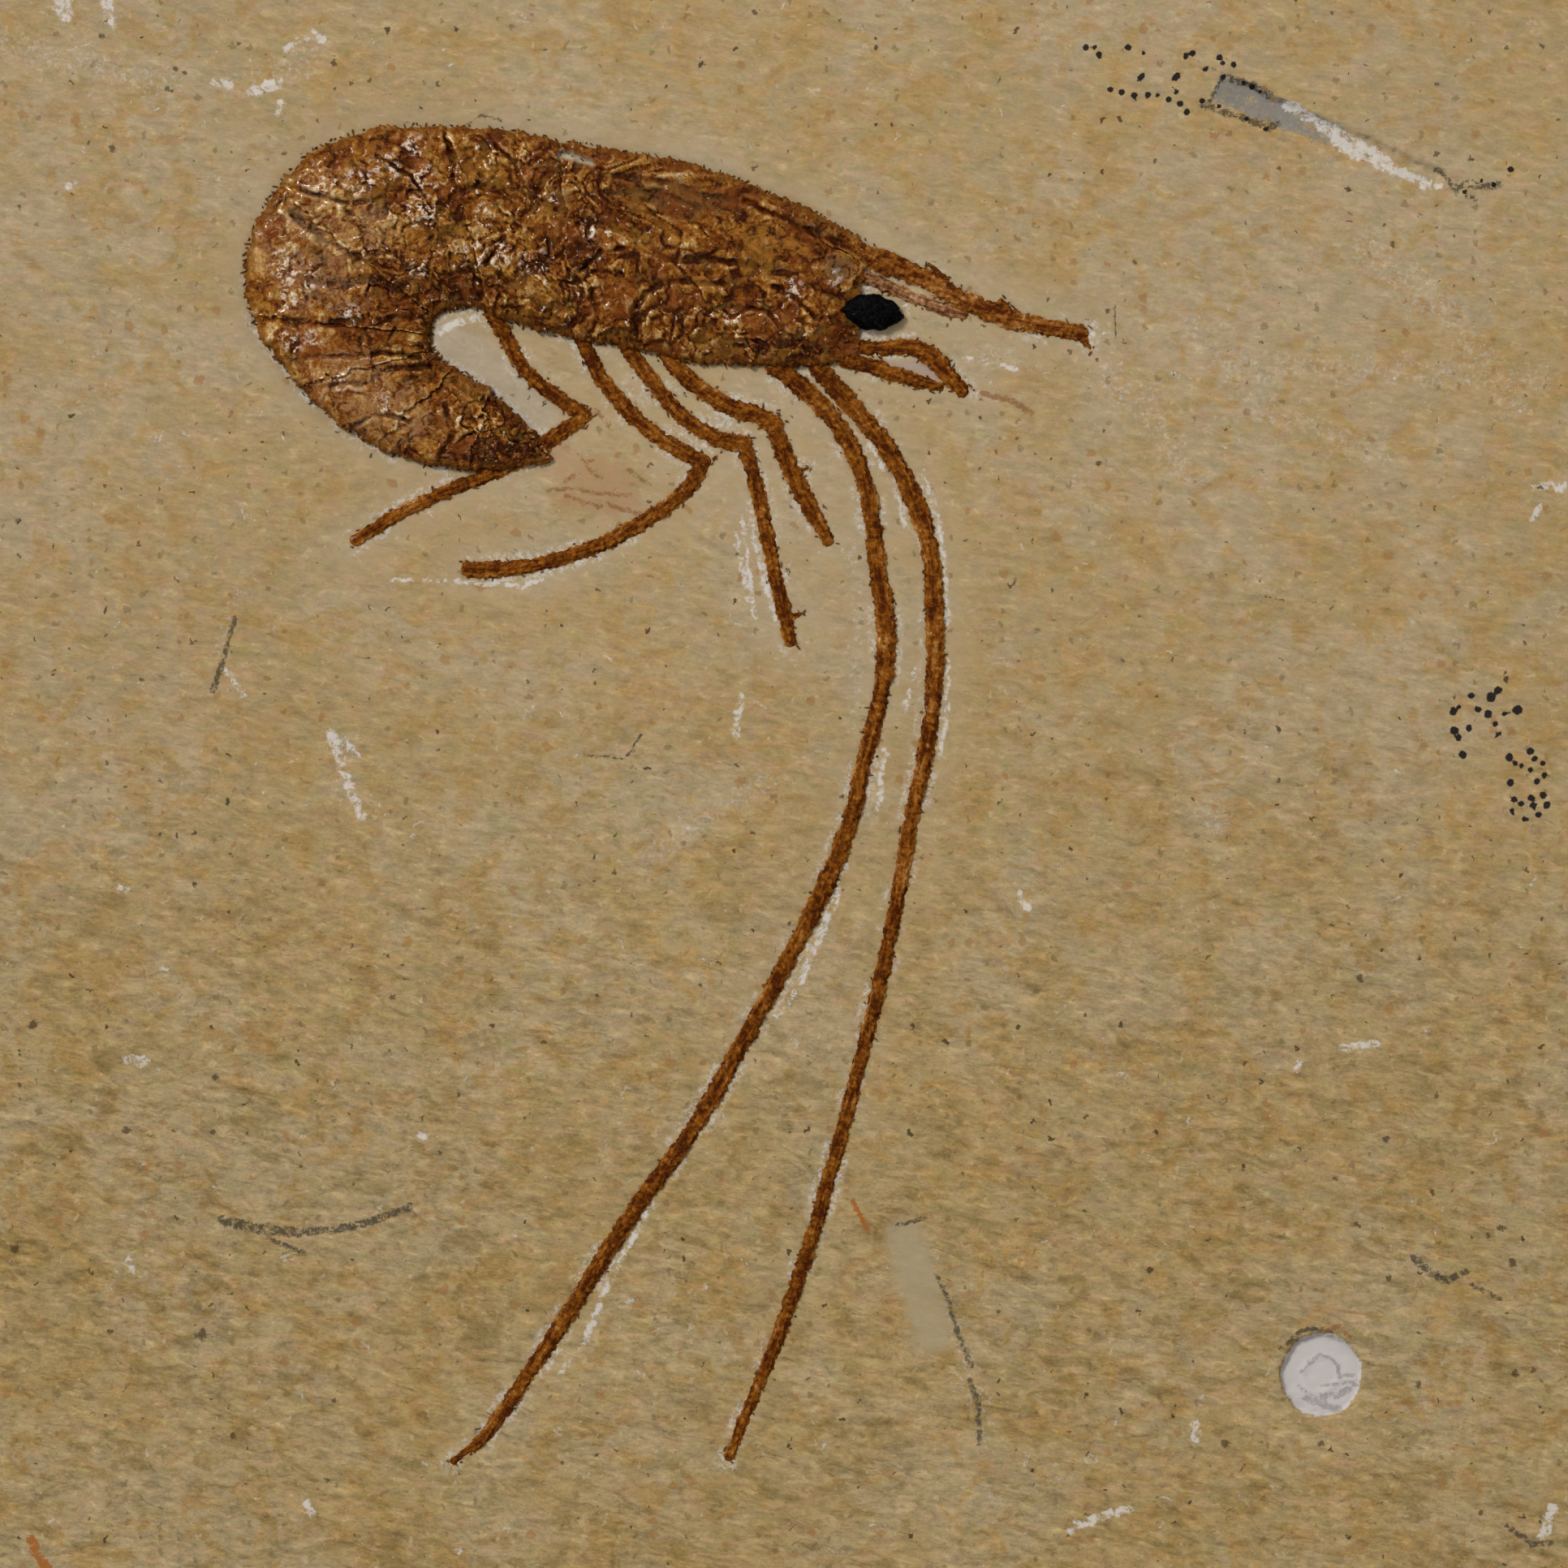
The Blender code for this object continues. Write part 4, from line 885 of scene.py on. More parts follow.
def curve_through(rows, places):
    """Values on a smooth curve through rows of numbers, where place 2.5 is half way from row 2 to row 3."""
    rows = np.asarray(rows, float)
    index = np.clip(np.floor(places).astype(int), 0, len(rows) - 2)
    share = (places - index)[:, None]
    before, start = rows[np.maximum(index - 1, 0)], rows[index]
    end, after = rows[index + 1], rows[np.minimum(index + 2, len(rows) - 1)]
    curve = 2 * start + (end - before) * share + (2 * before - 5 * start + 4 * end - after) * share ** 2
    return (curve + (3 * start - 3 * end + after - before) * share ** 3) / 2


def crease(x, y, size, octaves=1, seed=0.0):
    """Height from 0 to 1 with sharp valleys between rounded swells of the given size."""
    return np.sqrt(np.abs(rough(x, y, size, octaves, seed)) + 0.001)


def shards(x, y, size, tilt, seed=0.0):
    """Broken plates, each tilted its own way: their height, 0 to 1 off their cracks, and a number for each."""
    heights, inside, kind = np.empty((3, len(x)))
    for number, (a, b) in enumerate(zip(x / size, y / size)):
        gaps, middles = noise.voronoi(Vector((a, b, seed)))
        lean = noise.noise_vector(middles[0] * 3.7)
        heights[number] = (a - middles[0].x) * lean.x + (b - middles[0].y) * lean.y + 0.3 * lean.z
        inside[number] = gaps[1] - gaps[0]
        kind[number] = noise.cell(middles[0] * 9.1)
    return tilt * heights, inside, kind


def in_patches(x, y, patches, softness=0.5):
    """1 inside oval patches and 0 outside, with soft sides."""
    mask = np.zeros(len(x))
    for (middle_x, middle_y), half_length, half_width, turn in patches:
        turn_x, turn_y = math.cos(math.radians(turn)), math.sin(math.radians(turn))
        along = ((x - middle_x) * turn_x + (y - middle_y) * turn_y) / half_length
        across = ((y - middle_y) * turn_x - (x - middle_x) * turn_y) / half_width
        mask = np.maximum(mask, 1 - ease(np.hypot(along, across), 1 - softness, 1 + softness))
    return mask


def soften(values, times):
    """The mean of each value of a grid and its neighbours, taken again and again."""
    for _ in range(times):
        padded = np.pad(values, 1, mode="edge")
        ring = padded[:-2, 1:-1] + padded[2:, 1:-1] + padded[1:-1, :-2] + padded[1:-1, 2:]
        values = (values + ring) / 5
    return values


shell = start_from(
    bpy.ops.mesh.primitive_grid_add, x_subdivisions=BODY_ROWS, y_subdivisions=BODY_COLUMNS, size=2,
)
shell.name = "shell"
grid = get_points(shell)
order = np.lexsort((grid[:, 0], grid[:, 1]))
along = (grid[:, 0] + 1) / 2
across = (grid[:, 1] + 1) / 2

# Rows are spread evenly along a line two thirds of the way to the back
backs, bellies, crowns = zip(*BODY_STATIONS)
last_station = len(BODY_STATIONS) - 1
steps = np.linspace(0, last_station, 2001)
middle = curve_through(backs, steps) * 0.66 + curve_through(bellies, steps) * 0.34
walked = np.concatenate([[0], np.cumsum(np.hypot(*np.diff(middle, axis=0).T))])
station = np.interp(along * walked[-1], walked, steps)
back = curve_through(backs, station)
belly = curve_through(bellies, station)
crown = curve_through(np.array(crowns)[:, None], station)[:, 0]
width = np.hypot(*(back - belly).T)

# A ragged rim: torn edges, with spiky crumbs of shell that stick out
edge_x, edge_y = np.where(across[:, None] > 0.5, back, belly).T
spikes = np.abs(rough(edge_x, edge_y, 0.5, 2, 6.6)) ** 0.7 * ease(rough(edge_x, edge_y, 0.9, 2, 2.8), -0.25, 0.3)
torn = 0.2 * rough(edge_x, edge_y, 1.3, 3, 3.2) + 0.46 * spikes - 0.1
near_edge = 1 - ease(np.minimum(across, 1 - across) * width, 0.0, 0.9)
across_torn = across + np.sign(across - 0.5) * torn * near_edge / width
x, y = (belly + (back - belly) * across_torn[:, None]).T
end_gap = np.minimum(along, 1 - along) * walked[-1]
near_end = 1 - ease(end_gap, 0, 1.0)
x = x + 0.45 * near_end * rough(x, y, 0.7, 3, 7.3)

# Relief: the flattened dome, the somites' steps, folds, crumpled plates and crumbs
edge_gap = np.minimum(np.minimum(across, 1 - across) * width, end_gap + 0.1)
dome = np.clip(1 - np.abs(2 * across - 1) ** 3.2, 0, 1) ** 0.6 * ease(end_gap, -0.6, 3.5)
warp_x, warp_y = 0.55 * rough(x, y, 2.2, 3, 1.4), 0.55 * rough(x, y, 2.2, 3, 5.1)
crumbled = in_patches(x + warp_x, y + warp_y, CRUMBLED)
smooth = in_patches(x + 0.6 * warp_x, y + 0.6 * warp_y, SMOOTH, 0.35)
bare = drawn(x + 0.3 * rough(x, y, 0.7, 3, 8.8), y + 0.12 * rough(x, y, 0.5, 2, 1.8), [BACK_SLIT], 0.22)
streaked = in_patches(x, y, GREY_SHELL + OCHRE_SHELL[2:3])
stretch = 1 + 0.7 * streaked
plate_x, plate_y = (x + 1.2 * warp_x) / stretch, y + 1.2 * warp_y
plates, plate_gap, plate_kind = shards(plate_x, plate_y, 2.1, 0.42, 3.3)
flakes, flake_gap, flake_kind = shards(plate_x, plate_y, 0.85, 0.34, 9.3)
bits = shards(x + 0.6 * warp_x, y + 0.6 * warp_y, 0.4, 0.16, 5.9)[0]
small = rough(x / stretch, y, 0.36, 3, 8.1)
wrinkles = crease(plate_x, plate_y, 1.2, 2, 2.7) - 0.5
strong = ease(rough(x, y, 2.8, 2, 7.7), -0.35, 0.35)
cracks = (1 - ease(plate_gap, 0.0, 0.16)) * strong
flake_cracks = (1 - ease(flake_gap, 0.0, 0.25)) * (0.3 + 0.65 * crumbled)
cracks = np.maximum(cracks, flake_cracks * ease(rough(x, y, 1.9, 2, 3.9), -0.4, 0.2))
rest = (1 - 0.8 * smooth) * (1 - 0.35 * (1 - crumbled))
detail = (plates + flakes + 0.14 * wrinkles + (0.3 + 0.9 * crumbled) * bits + 0.04 * small) * rest
folds = np.zeros(len(x))
fade = 0.35 + 0.65 * ease(rough(x, y, 1.6, 2, 6.5), -0.4, 0.2)
# shaded is a broad band beside each fold, used below only as painted shade in the shell's colour
shaded = np.zeros(len(x))
for line, fold_width in FOLDS:
    gap = line_gap(x + 0.3 * warp_x + 0.1 * small, y + 0.3 * warp_y + 0.1 * rough(x, y, 0.7, 2, 9.4), line)
    folds = np.maximum(folds, np.exp(-np.square(gap / fold_width / 1.1)) * fade)
    shaded = np.maximum(shaded, np.exp(-np.square(gap / fold_width / 3.6)) * fade)
    detail = detail + 0.04 * np.exp(-np.square((gap / fold_width - 2.2) / 0.9)) * fade
detail = detail - 0.3 * folds - 0.12 * cracks
for somite in SOMITE_EDGES:
    behind = station - somite + 0.16 * rough(x, y, 1.6, 3, somite)
    detail = detail + SOMITE_STEP * np.exp(-np.abs(behind) / 0.25) * np.where(behind < 0, 1, -1.2)
lift = ease(edge_gap, 0.0, 0.8)
top = BODY_RIM + (crown - BODY_RIM) * dome * 0.9 + detail * (0.3 + 0.7 * lift) + 0.25 * np.abs(small) * (1 - lift)
top = np.maximum(top, 0.06)
top = top * (1 - 0.55 * bare)
ground = stone_height(x, y)
set_points(shell, np.column_stack([x * MM, y * MM, FACE + (ground + top) * MM]))

# The rim is drawn down into the stone and closed
bpy.ops.object.mode_set(mode="EDIT")
bpy.ops.mesh.select_mode(type="EDGE")
bpy.ops.mesh.select_all(action="DESELECT")
bpy.ops.mesh.select_non_manifold()
bpy.ops.mesh.extrude_region_move(TRANSFORM_OT_translate={"value": (0, 0, -BODY_SINK * MM)})
bpy.ops.mesh.edge_face_add()
bpy.ops.object.mode_set(mode="OBJECT")
points = get_points(shell)
below = np.arange(len(points)) >= len(grid)
points[below, 2] = FACE - BODY_SINK * MM
set_points(shell, points)
bpy.ops.object.mode_set(mode="EDIT")
bpy.ops.mesh.select_all(action="SELECT")
bpy.ops.mesh.normals_make_consistent(inside=False)
bpy.ops.object.mode_set(mode="OBJECT")
bpy.ops.object.shade_smooth_by_angle(angle=math.radians(70))


def set_shell_mask(name, values):
    """Store a mask that is given for the skin's own vertices, with 0 on those below its rim."""
    set_mask(shell, name, np.concatenate([values, np.zeros(len(points) - len(grid))]))


def crest_of(values, times):
    """How far each place of the skin stands above the places around it: 0.5 on a level."""
    table = values[order].reshape(BODY_COLUMNS + 1, BODY_ROWS + 1)
    crest = np.empty(len(values))
    crest[order] = (table - soften(table, times)).ravel()
    return crest


set_shell_mask("crest", 0.5 + 2.1 * crest_of(detail, 10))
set_shell_mask("swell", 0.5 + 1.2 * crest_of(detail, 80))
pale_area = in_patches(x + warp_x, y + warp_y, PALE_SHELL, 0.6)
# This mask darkens the shell: the lines of its folds and cracks, partly real dark colour and partly painted shade,
# and a broad painted shade beside each fold
set_shell_mask("fold_crack_and_shade", np.maximum(np.maximum(folds, 0.75 * (1 - 0.5 * pale_area) * cracks), 0.36 * shaded))
set_shell_mask("crumbly", crumbled)
set_shell_mask("plate_tone", 0.6 * plate_kind + 0.4 * flake_kind)
set_shell_mask("plate_hue", (plate_kind * 7.3) % 1)
set_shell_mask("rim", 1 - ease(edge_gap + 0.35 * small, 0.1, 1.0))
set_shell_mask("pale", pale_area)
set_shell_mask("ochre", in_patches(x + warp_x, y + warp_y, OCHRE_SHELL, 0.55))
set_shell_mask("grey", in_patches(x + warp_x, y + warp_y, GREY_SHELL, 0.6))
set_shell_mask("dark", in_patches(x + warp_x, y + warp_y, DARK_SHELL, 0.7))
set_shell_mask("glint", spotted(x + 0.6 * warp_x, y + 0.6 * warp_y, GLINTS))
set_shell_mask("bare", bare)

# Finish of the shell: brown, darker in its folds and cracks, partly by painted shade, with painted shade in its
# hollows, painted light on its crests, painted glints, and a glossy varnish
SHELL_PALE = (0.45, 0.29, 0.15, 1)
SHELL_OCHRE = (0.33, 0.140, 0.018, 1)
SHELL_OLIVE = (0.20, 0.125, 0.020, 1)
SHELL_GREY = (0.120, 0.058, 0.018, 1)
SHELL_RED = (0.20, 0.050, 0.006, 1)
SHELL_BLACK = (0.030, 0.006, 0.0005, 1)
SHELL_RIM = (0.150, 0.050, 0.006, 1)
SLIT_GREY = (0.44, 0.37, 0.25, 1)
SHELL_GLINT = (0.80, 0.67, 0.53, 1)
shell_finish, tree, shader = new_material("fossil_shell", Coat_Roughness=0.16, Specular_IOR_Level=0.05)
where = millimetres(tree)
crest = read_mask(tree, "crest")
swell = read_mask(tree, "swell")
lumps = mottle(tree, where, 0.5, 4, 0.65, 0.5)
flecks = mottle(tree, where, 1.7, 5, 0.72, 0.8)
dust = mottle(tree, where, 6.0, 2, 0.8)
# Painted light and shade: the tone rises on crests and swells and falls in hollows, following the relief
tone = remap(tree, crest, 0.1, 0.9, -0.36, 0.36, "LINEAR")
tone = calculate(tree, "ADD", tone, remap(tree, swell, 0.1, 0.9, -0.26, 0.26, "LINEAR"))
tone = calculate(tree, "ADD", tone, remap(tree, read_mask(tree, "plate_tone"), 0, 1, -0.18, 0.14, "LINEAR"))
tone = calculate(tree, "ADD", tone, remap(tree, lumps, 0.3, 0.7, -0.24, 0.24, "LINEAR"))
tone = calculate(tree, "ADD", tone, remap(tree, flecks, 0.3, 0.7, -0.25, 0.25, "LINEAR"))
tone = calculate(tree, "ADD", tone, remap(tree, dust, 0.3, 0.7, 0.35, 0.55, "LINEAR"))
tone = calculate(tree, "ADD", tone, calculate(tree, "MULTIPLY", read_mask(tree, "pale"), 0.12))
tone = calculate(tree, "SUBTRACT", tone, calculate(tree, "MULTIPLY", read_mask(tree, "dark"), 0.2))
# Painted shade, in part: darker along folds and cracks and in the broad bands beside folds
tone = calculate(tree, "SUBTRACT", tone, calculate(tree, "MULTIPLY", read_mask(tree, "fold_crack_and_shade"), 0.40))
colour = colour_ramp(
    tree, tone,
    (0.08, (0.036, 0.007, 0.0003)),
    (0.28, (0.138, 0.034, 0.0018)),
    (0.46, (0.250, 0.090, 0.009)),
    (0.62, (0.370, 0.185, 0.038)),
    (0.80, (0.580, 0.382, 0.160)),
    (1.00, (0.840, 0.700, 0.520)),
)
hue = calculate(tree, "ADD", mottle(tree, where, 0.34, 4, 0.65, 0.5), remap(
    tree, read_mask(tree, "plate_hue"), 0, 1, -0.08, 0.08, "LINEAR"))
for low, high, strength, tint in (
    (0.53, 0.66, 0.40, SHELL_OCHRE),
    (0.47, 0.36, 0.55, SHELL_RED),
):
    colour = blend(tree, calculate(tree, "MULTIPLY", remap(tree, hue, low, high), strength), colour, tint)
olive = calculate(tree, "MULTIPLY", remap(tree, mottle(tree, where, 1.1, 3, 0.6, 0.5), 0.56, 0.66), 0.3)
colour = blend(tree, olive, colour, SHELL_OLIVE)
for name, strength, tint in (("pale", 0.25, SHELL_PALE), ("ochre", 0.5, SHELL_OCHRE), ("grey", 0.6, SHELL_GREY)):
    mask = use_group(tree, broken, Mask=read_mask(tree, name), Grain=flecks, Cover=0.6)
    colour = blend(tree, calculate(tree, "MULTIPLY", mask, strength), colour, tint)
rim = use_group(tree, broken, Mask=read_mask(tree, "rim"), Grain=flecks, Cover=0.75)
colour = blend(tree, calculate(tree, "MULTIPLY", rim, 0.55), colour, SHELL_RIM)
wander = add_node(tree, "ShaderNodeTexNoise", {"Vector": where, "Scale": 1.6, "Detail": 4.0})
wander = add_node(tree, "ShaderNodeVectorMath", {0: wander.outputs[1], "Scale": 1.5}, operation="SCALE")
jagged = add_node(tree, "ShaderNodeVectorMath", {0: where, 1: wander.outputs[0]}, operation="ADD").outputs[0]
net = add_node(tree, "ShaderNodeTexVoronoi", {"Vector": jagged, "Scale": 1.15}, voronoi_dimensions="2D",
               feature="DISTANCE_TO_EDGE")
lines = calculate(tree, "MULTIPLY", remap(tree, net.outputs[0], 0.07, 0.02), remap(tree, lumps, 0.46, 0.56))
colour = blend(tree, calculate(tree, "MULTIPLY", lines, 0.36), colour, SHELL_BLACK)
# Painted highlights: small glints on the crests of the crumbled shell, and larger glint patches, in the pale glint
# colour
cells = add_node(tree, "ShaderNodeTexVoronoi", {"Vector": jagged, "Scale": 1.7}, voronoi_dimensions="2D").outputs
sheen = use_group(tree, dots, Gap=cells[0], Cell=cells[1], Size=0.22, Pick=0.08, Share=0.16)
sheen = calculate(tree, "MULTIPLY", sheen, remap(tree, crest, 0.47, 0.60))
sheen = calculate(tree, "MULTIPLY", sheen, remap(tree, read_mask(tree, "crumbly"), 0.1, 0.6, 0.25, 0.72))
colour = blend(tree, sheen, colour, SHELL_GLINT)
sparks = remap(tree, mottle(tree, where, 2.3, 3, 0.6, 0.9), 0.49, 0.56)
glint = calculate(tree, "MULTIPLY", remap(tree, read_mask(tree, "glint"), 0.05, 0.5, 0.0, 0.72), sparks)
glint = calculate(tree, "MULTIPLY", glint, remap(tree, crest, 0.44, 0.56))
colour = blend(tree, glint, colour, SHELL_GLINT)
colour = blend(tree, read_mask(tree, "bare"), colour, SLIT_GREY)
tree.links.new(colour, shader.inputs["Base Color"])
tree.links.new(remap(tree, flecks, 0.3, 0.7, 0.3, 0.6), shader.inputs["Roughness"])
gloss = calculate(tree, "MULTIPLY", remap(tree, lumps, 0.42, 0.6, 0.2, 0.9), remap(tree, crest, 0.47, 0.64))
dull = calculate(tree, "MAXIMUM", read_mask(tree, "bare"), read_mask(tree, "rim"))
dull = calculate(tree, "MAXIMUM", dull, read_mask(tree, "grey"))
gloss = calculate(tree, "MULTIPLY", gloss, calculate(tree, "SUBTRACT", 1.0, dull))
tree.links.new(gloss, shader.inputs["Coat Weight"])
relief = calculate(tree, "MULTIPLY_ADD", flecks, 0.9, calculate(tree, "MULTIPLY", dust, 0.2))
bump = add_node(tree, "ShaderNodeBump", {"Height": relief, "Strength": 0.7, "Distance": 0.3 * MM})
tree.links.new(bump.outputs[0], shader.inputs["Normal"])
shell.data.materials.append(shell_finish)
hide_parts("fossil_shrimp")
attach(shell, "root")

# Rostrum, antennae and legs
# Slender shell tubes, pressed to flat orange-brown strips with crusty, serrated sides. Each is a ball that
# is drawn out along its route, half sunk in the stone, and each leg's two parts meet in a swollen knee.
ROSTRUM = (
    (2.0, 39.5, 1.8), (4.7, 38.3, 1.75), (7.8, 37.0, 1.65), (10.3, 36.0, 1.5), (12.2, 34.8, 1.55),
    (14.0, 34.1, 1.5), (15.9, 33.3, 1.55), (18.7, 32.6, 1.3), (21.8, 32.2, 1.3),
)
ROSTRUM_KEEL = ((4.6, 36.6, 1.2), (6.6, 35.9, 1.1), (8.6, 35.0, 0.95), (10.8, 34.1, 1.0), (13.2, 33.4, 0.8))
UPPER_ANTENNULE = (
    (3.7, 31.4, 1.05), (6.6, 31.1, 1.15), (8.9, 31.2, 1.3), (10.6, 30.5, 1.5), (11.7, 29.2, 1.4),
    (13.1, 27.7, 0.9),
)
LOWER_ANTENNULE = ((3.7, 30.5, 1.3), (6.0, 29.9, 1.2), (8.1, 29.2, 1.15), (9.8, 28.7, 1.0), (11.5, 28.3, 0.7))
FRONT_ANTENNA = (
    (2.0, 30.2, 1.4), (4.6, 27.3, 1.5), (7.2, 24.2, 1.5), (9.2, 20.6, 1.5), (10.4, 16.6, 1.35),
    (10.8, 11.4, 1.45), (10.7, 6.7, 1.3), (10.1, 2.1, 1.3), (9.0, -2.8, 1.2), (8.1, -8.3, 1.15),
    (6.8, -14.4, 1.15), (5.2, -20.8, 1.1), (3.4, -27.5, 1.1), (1.4, -34.1, 1.15), (-0.8, -40.5, 1.05),
    (-3.0, -45.7, 0.9), (-4.1, -48.4, 0.8),
)
REAR_ANTENNA = (
    (-1.2, 30.2, 1.4), (2.0, 27.7, 1.5), (4.6, 24.4, 1.4), (6.0, 20.6, 1.3), (6.7, 15.4, 1.4),
    (7.3, 10.8, 1.5), (7.0, 6.7, 1.3), (5.8, 1.8, 1.3), (4.6, -3.1, 1.35), (2.7, -7.8, 1.4),
    (0.2, -12.7, 1.3), (-3.0, -18.5, 1.3), (-6.1, -24.0, 1.3), (-9.6, -28.9, 1.3), (-12.8, -33.7, 1.3),
    (-16.0, -38.8, 1.2), (-18.9, -43.1, 1.1), (-21.5, -46.7, 1.0), (-22.8, -47.7, 0.55), (-23.8, -48.6, 0.7),
)
WALKING_LEGS = (
    (
        ((-21.2, 34.3, 1.2), (-19.8, 31.8, 1.2), (-18.3, 29.3, 1.1), (-16.0, 27.5, 1.2), (-14.3, 26.3, 1.2)),
        ((-14.3, 26.3, 1.2), (-18.3, 23.5, 1.2), (-20.9, 22.2, 1.05), (-24.1, 20.9, 1.05),
         (-27.3, 19.4, 1.05), (-31.0, 17.2, 1.0)),
    ),
    (
        ((-14.7, 32.5, 1.2), (-13.5, 29.8, 1.2), (-11.9, 27.5, 1.2), (-9.3, 25.0, 1.2), (-5.8, 23.0, 1.25)),
        ((-5.8, 23.0, 1.25), (-7.0, 21.0, 1.2), (-9.6, 19.0, 1.2), (-13.4, 17.0, 1.15),
         (-17.7, 15.7, 1.1), (-21.2, 15.3, 1.3), (-23.1, 15.4, 1.2)),
    ),
    (
        ((-11.7, 31.9, 1.2), (-9.6, 29.0, 1.2), (-7.6, 26.6, 1.2), (-5.1, 24.8, 1.2), (-2.9, 24.3, 1.25)),
        ((-2.9, 24.3, 1.25), (-2.2, 22.1, 1.15), (-1.3, 18.3, 1.1), (-0.6, 14.6, 1.1), (0.2, 11.5, 1.15),
         (0.5, 9.7, 0.85)),
    ),
    (
        ((-8.8, 31.0, 1.3), (-6.7, 28.8, 1.3), (-4.4, 27.2, 1.3), (-1.8, 26.3, 1.4), (-0.8, 25.7, 1.4)),
        ((-0.8, 25.7, 1.4), (0.1, 23.4, 1.3), (1.1, 21.2, 1.4), (2.3, 18.9, 1.15), (3.4, 17.0, 0.85)),
    ),
)
TEETH = (
    ((11.7, 35.8, 0.9), (10.2, 37.3, 0.25)),
    ((16.1, 33.6, 1.0), (15.3, 34.7, 0.4)),
    ((21.1, 32.2, 0.9), (22.0, 31.0, 0.25)),
)
SPURS = (
    ((0.4, 11.8, 0.7), (1.5, 12.3, 0.2)),
    ((0.4, 22.2, 0.7), (1.9, 22.6, 0.2)),
)
LIMB_RING = 0.13
LIMB_SIDES = 28
LIMB_FLATNESS = 0.46
LIMB_SINK = 0.06
LIMB_CRUST = 0.52


def lay_limb(name, route, seed, finish):
    """A crusty strip laid along points of x, y and width, given in millimetres."""
    steps = np.linspace(0, len(route) - 1, 40 * len(route))
    line = curve_through(route, steps)
    walked = np.concatenate([[0], np.cumsum(np.hypot(*np.diff(line[:, :2], axis=0).T))])
    rings = max(8, int(walked[-1] / LIMB_RING))
    limb = start_from(bpy.ops.mesh.primitive_uv_sphere_add, segments=LIMB_SIDES, ring_count=rings, radius=1)
    limb.name = name
    ball = get_points(limb)
    reach = np.arccos(np.clip(-ball[:, 2], -1, 1)) / math.pi * walked[-1]
    around = np.arctan2(ball[:, 1], ball[:, 0])
    turns = np.unwrap(np.arctan2(*np.gradient(line[:, :2], axis=0).T[::-1]))
    heading = np.interp(reach, walked, turns)
    line_x, line_y, width = (np.interp(reach, walked, column) for column in line.T)
    end = np.clip(np.minimum(reach, walked[-1] - reach) / (width / 2), 0, 1)
    radius = width / 2 * np.sqrt(1 - np.square(1 - end))
    out = np.sign(np.cos(around)) * np.abs(np.cos(around)) ** 0.72
    up = np.sign(np.sin(around)) * np.abs(np.sin(around)) ** 0.72
    crust = np.empty(len(reach))
    for number, place in enumerate(zip(reach, np.cos(around) * width / 2, np.sin(around) * width / 2)):
        gaps, _ = noise.voronoi(Vector(place) / 0.34 + Vector((seed, 0, 0)))
        fine = noise.noise(Vector(place) / 0.2 + Vector((0, seed, 0)), noise_basis="PERLIN_NEW")
        crust[number] = 0.75 - gaps[0] + 0.45 * fine
    ribbon = rough(reach, 1.1 * out + seed, 1.1, 3, seed)
    radius = radius * (0.93 + 0.17 * ribbon + LIMB_CRUST * (crust - 0.3))
    x = line_x - np.sin(heading) * out * radius
    y = line_y + np.cos(heading) * out * radius
    ground = stone_height(line_x, line_y) - LIMB_SINK
    set_points(limb, np.column_stack([x * MM, y * MM, FACE + (ground + up * radius * LIMB_FLATNESS) * MM]))
    set_mask(limb, "crust", 0.5 + 0.9 * (crust - 0.3))
    set_mask(limb, "across", 0.5 + 0.5 * out)
    set_mask(limb, "decimetres", reach / 100)
    bpy.ops.object.mode_set(mode="EDIT")
    bpy.ops.mesh.select_all(action="SELECT")
    bpy.ops.mesh.normals_make_consistent(inside=False)
    bpy.ops.object.mode_set(mode="OBJECT")
    bpy.ops.object.shade_smooth_by_angle(angle=math.radians(75))
    limb.data.materials.append(finish)
    limb_lines.append(line)
    return limb


def reach_past_knee(part, knee_end):
    """A leg part that goes on past its knee by half its width, so that the two parts' rounded ends meet."""
    x, y, width = part[knee_end]
    before = part[1] if knee_end == 0 else part[-2]
    step = 0.5 * width / math.hypot(x - before[0], y - before[1])
    past = (x + (x - before[0]) * step, y + (y - before[1]) * step, width)
    return (past, *part) if knee_end == 0 else (*part, past)


def join_pieces(first, others):
    """Join pieces into the first one."""
    bpy.ops.object.select_all(action="DESELECT")
    for piece in others:
        piece.select_set(True)
    first.select_set(True)
    bpy.context.view_layer.objects.active = first
    bpy.ops.object.join()


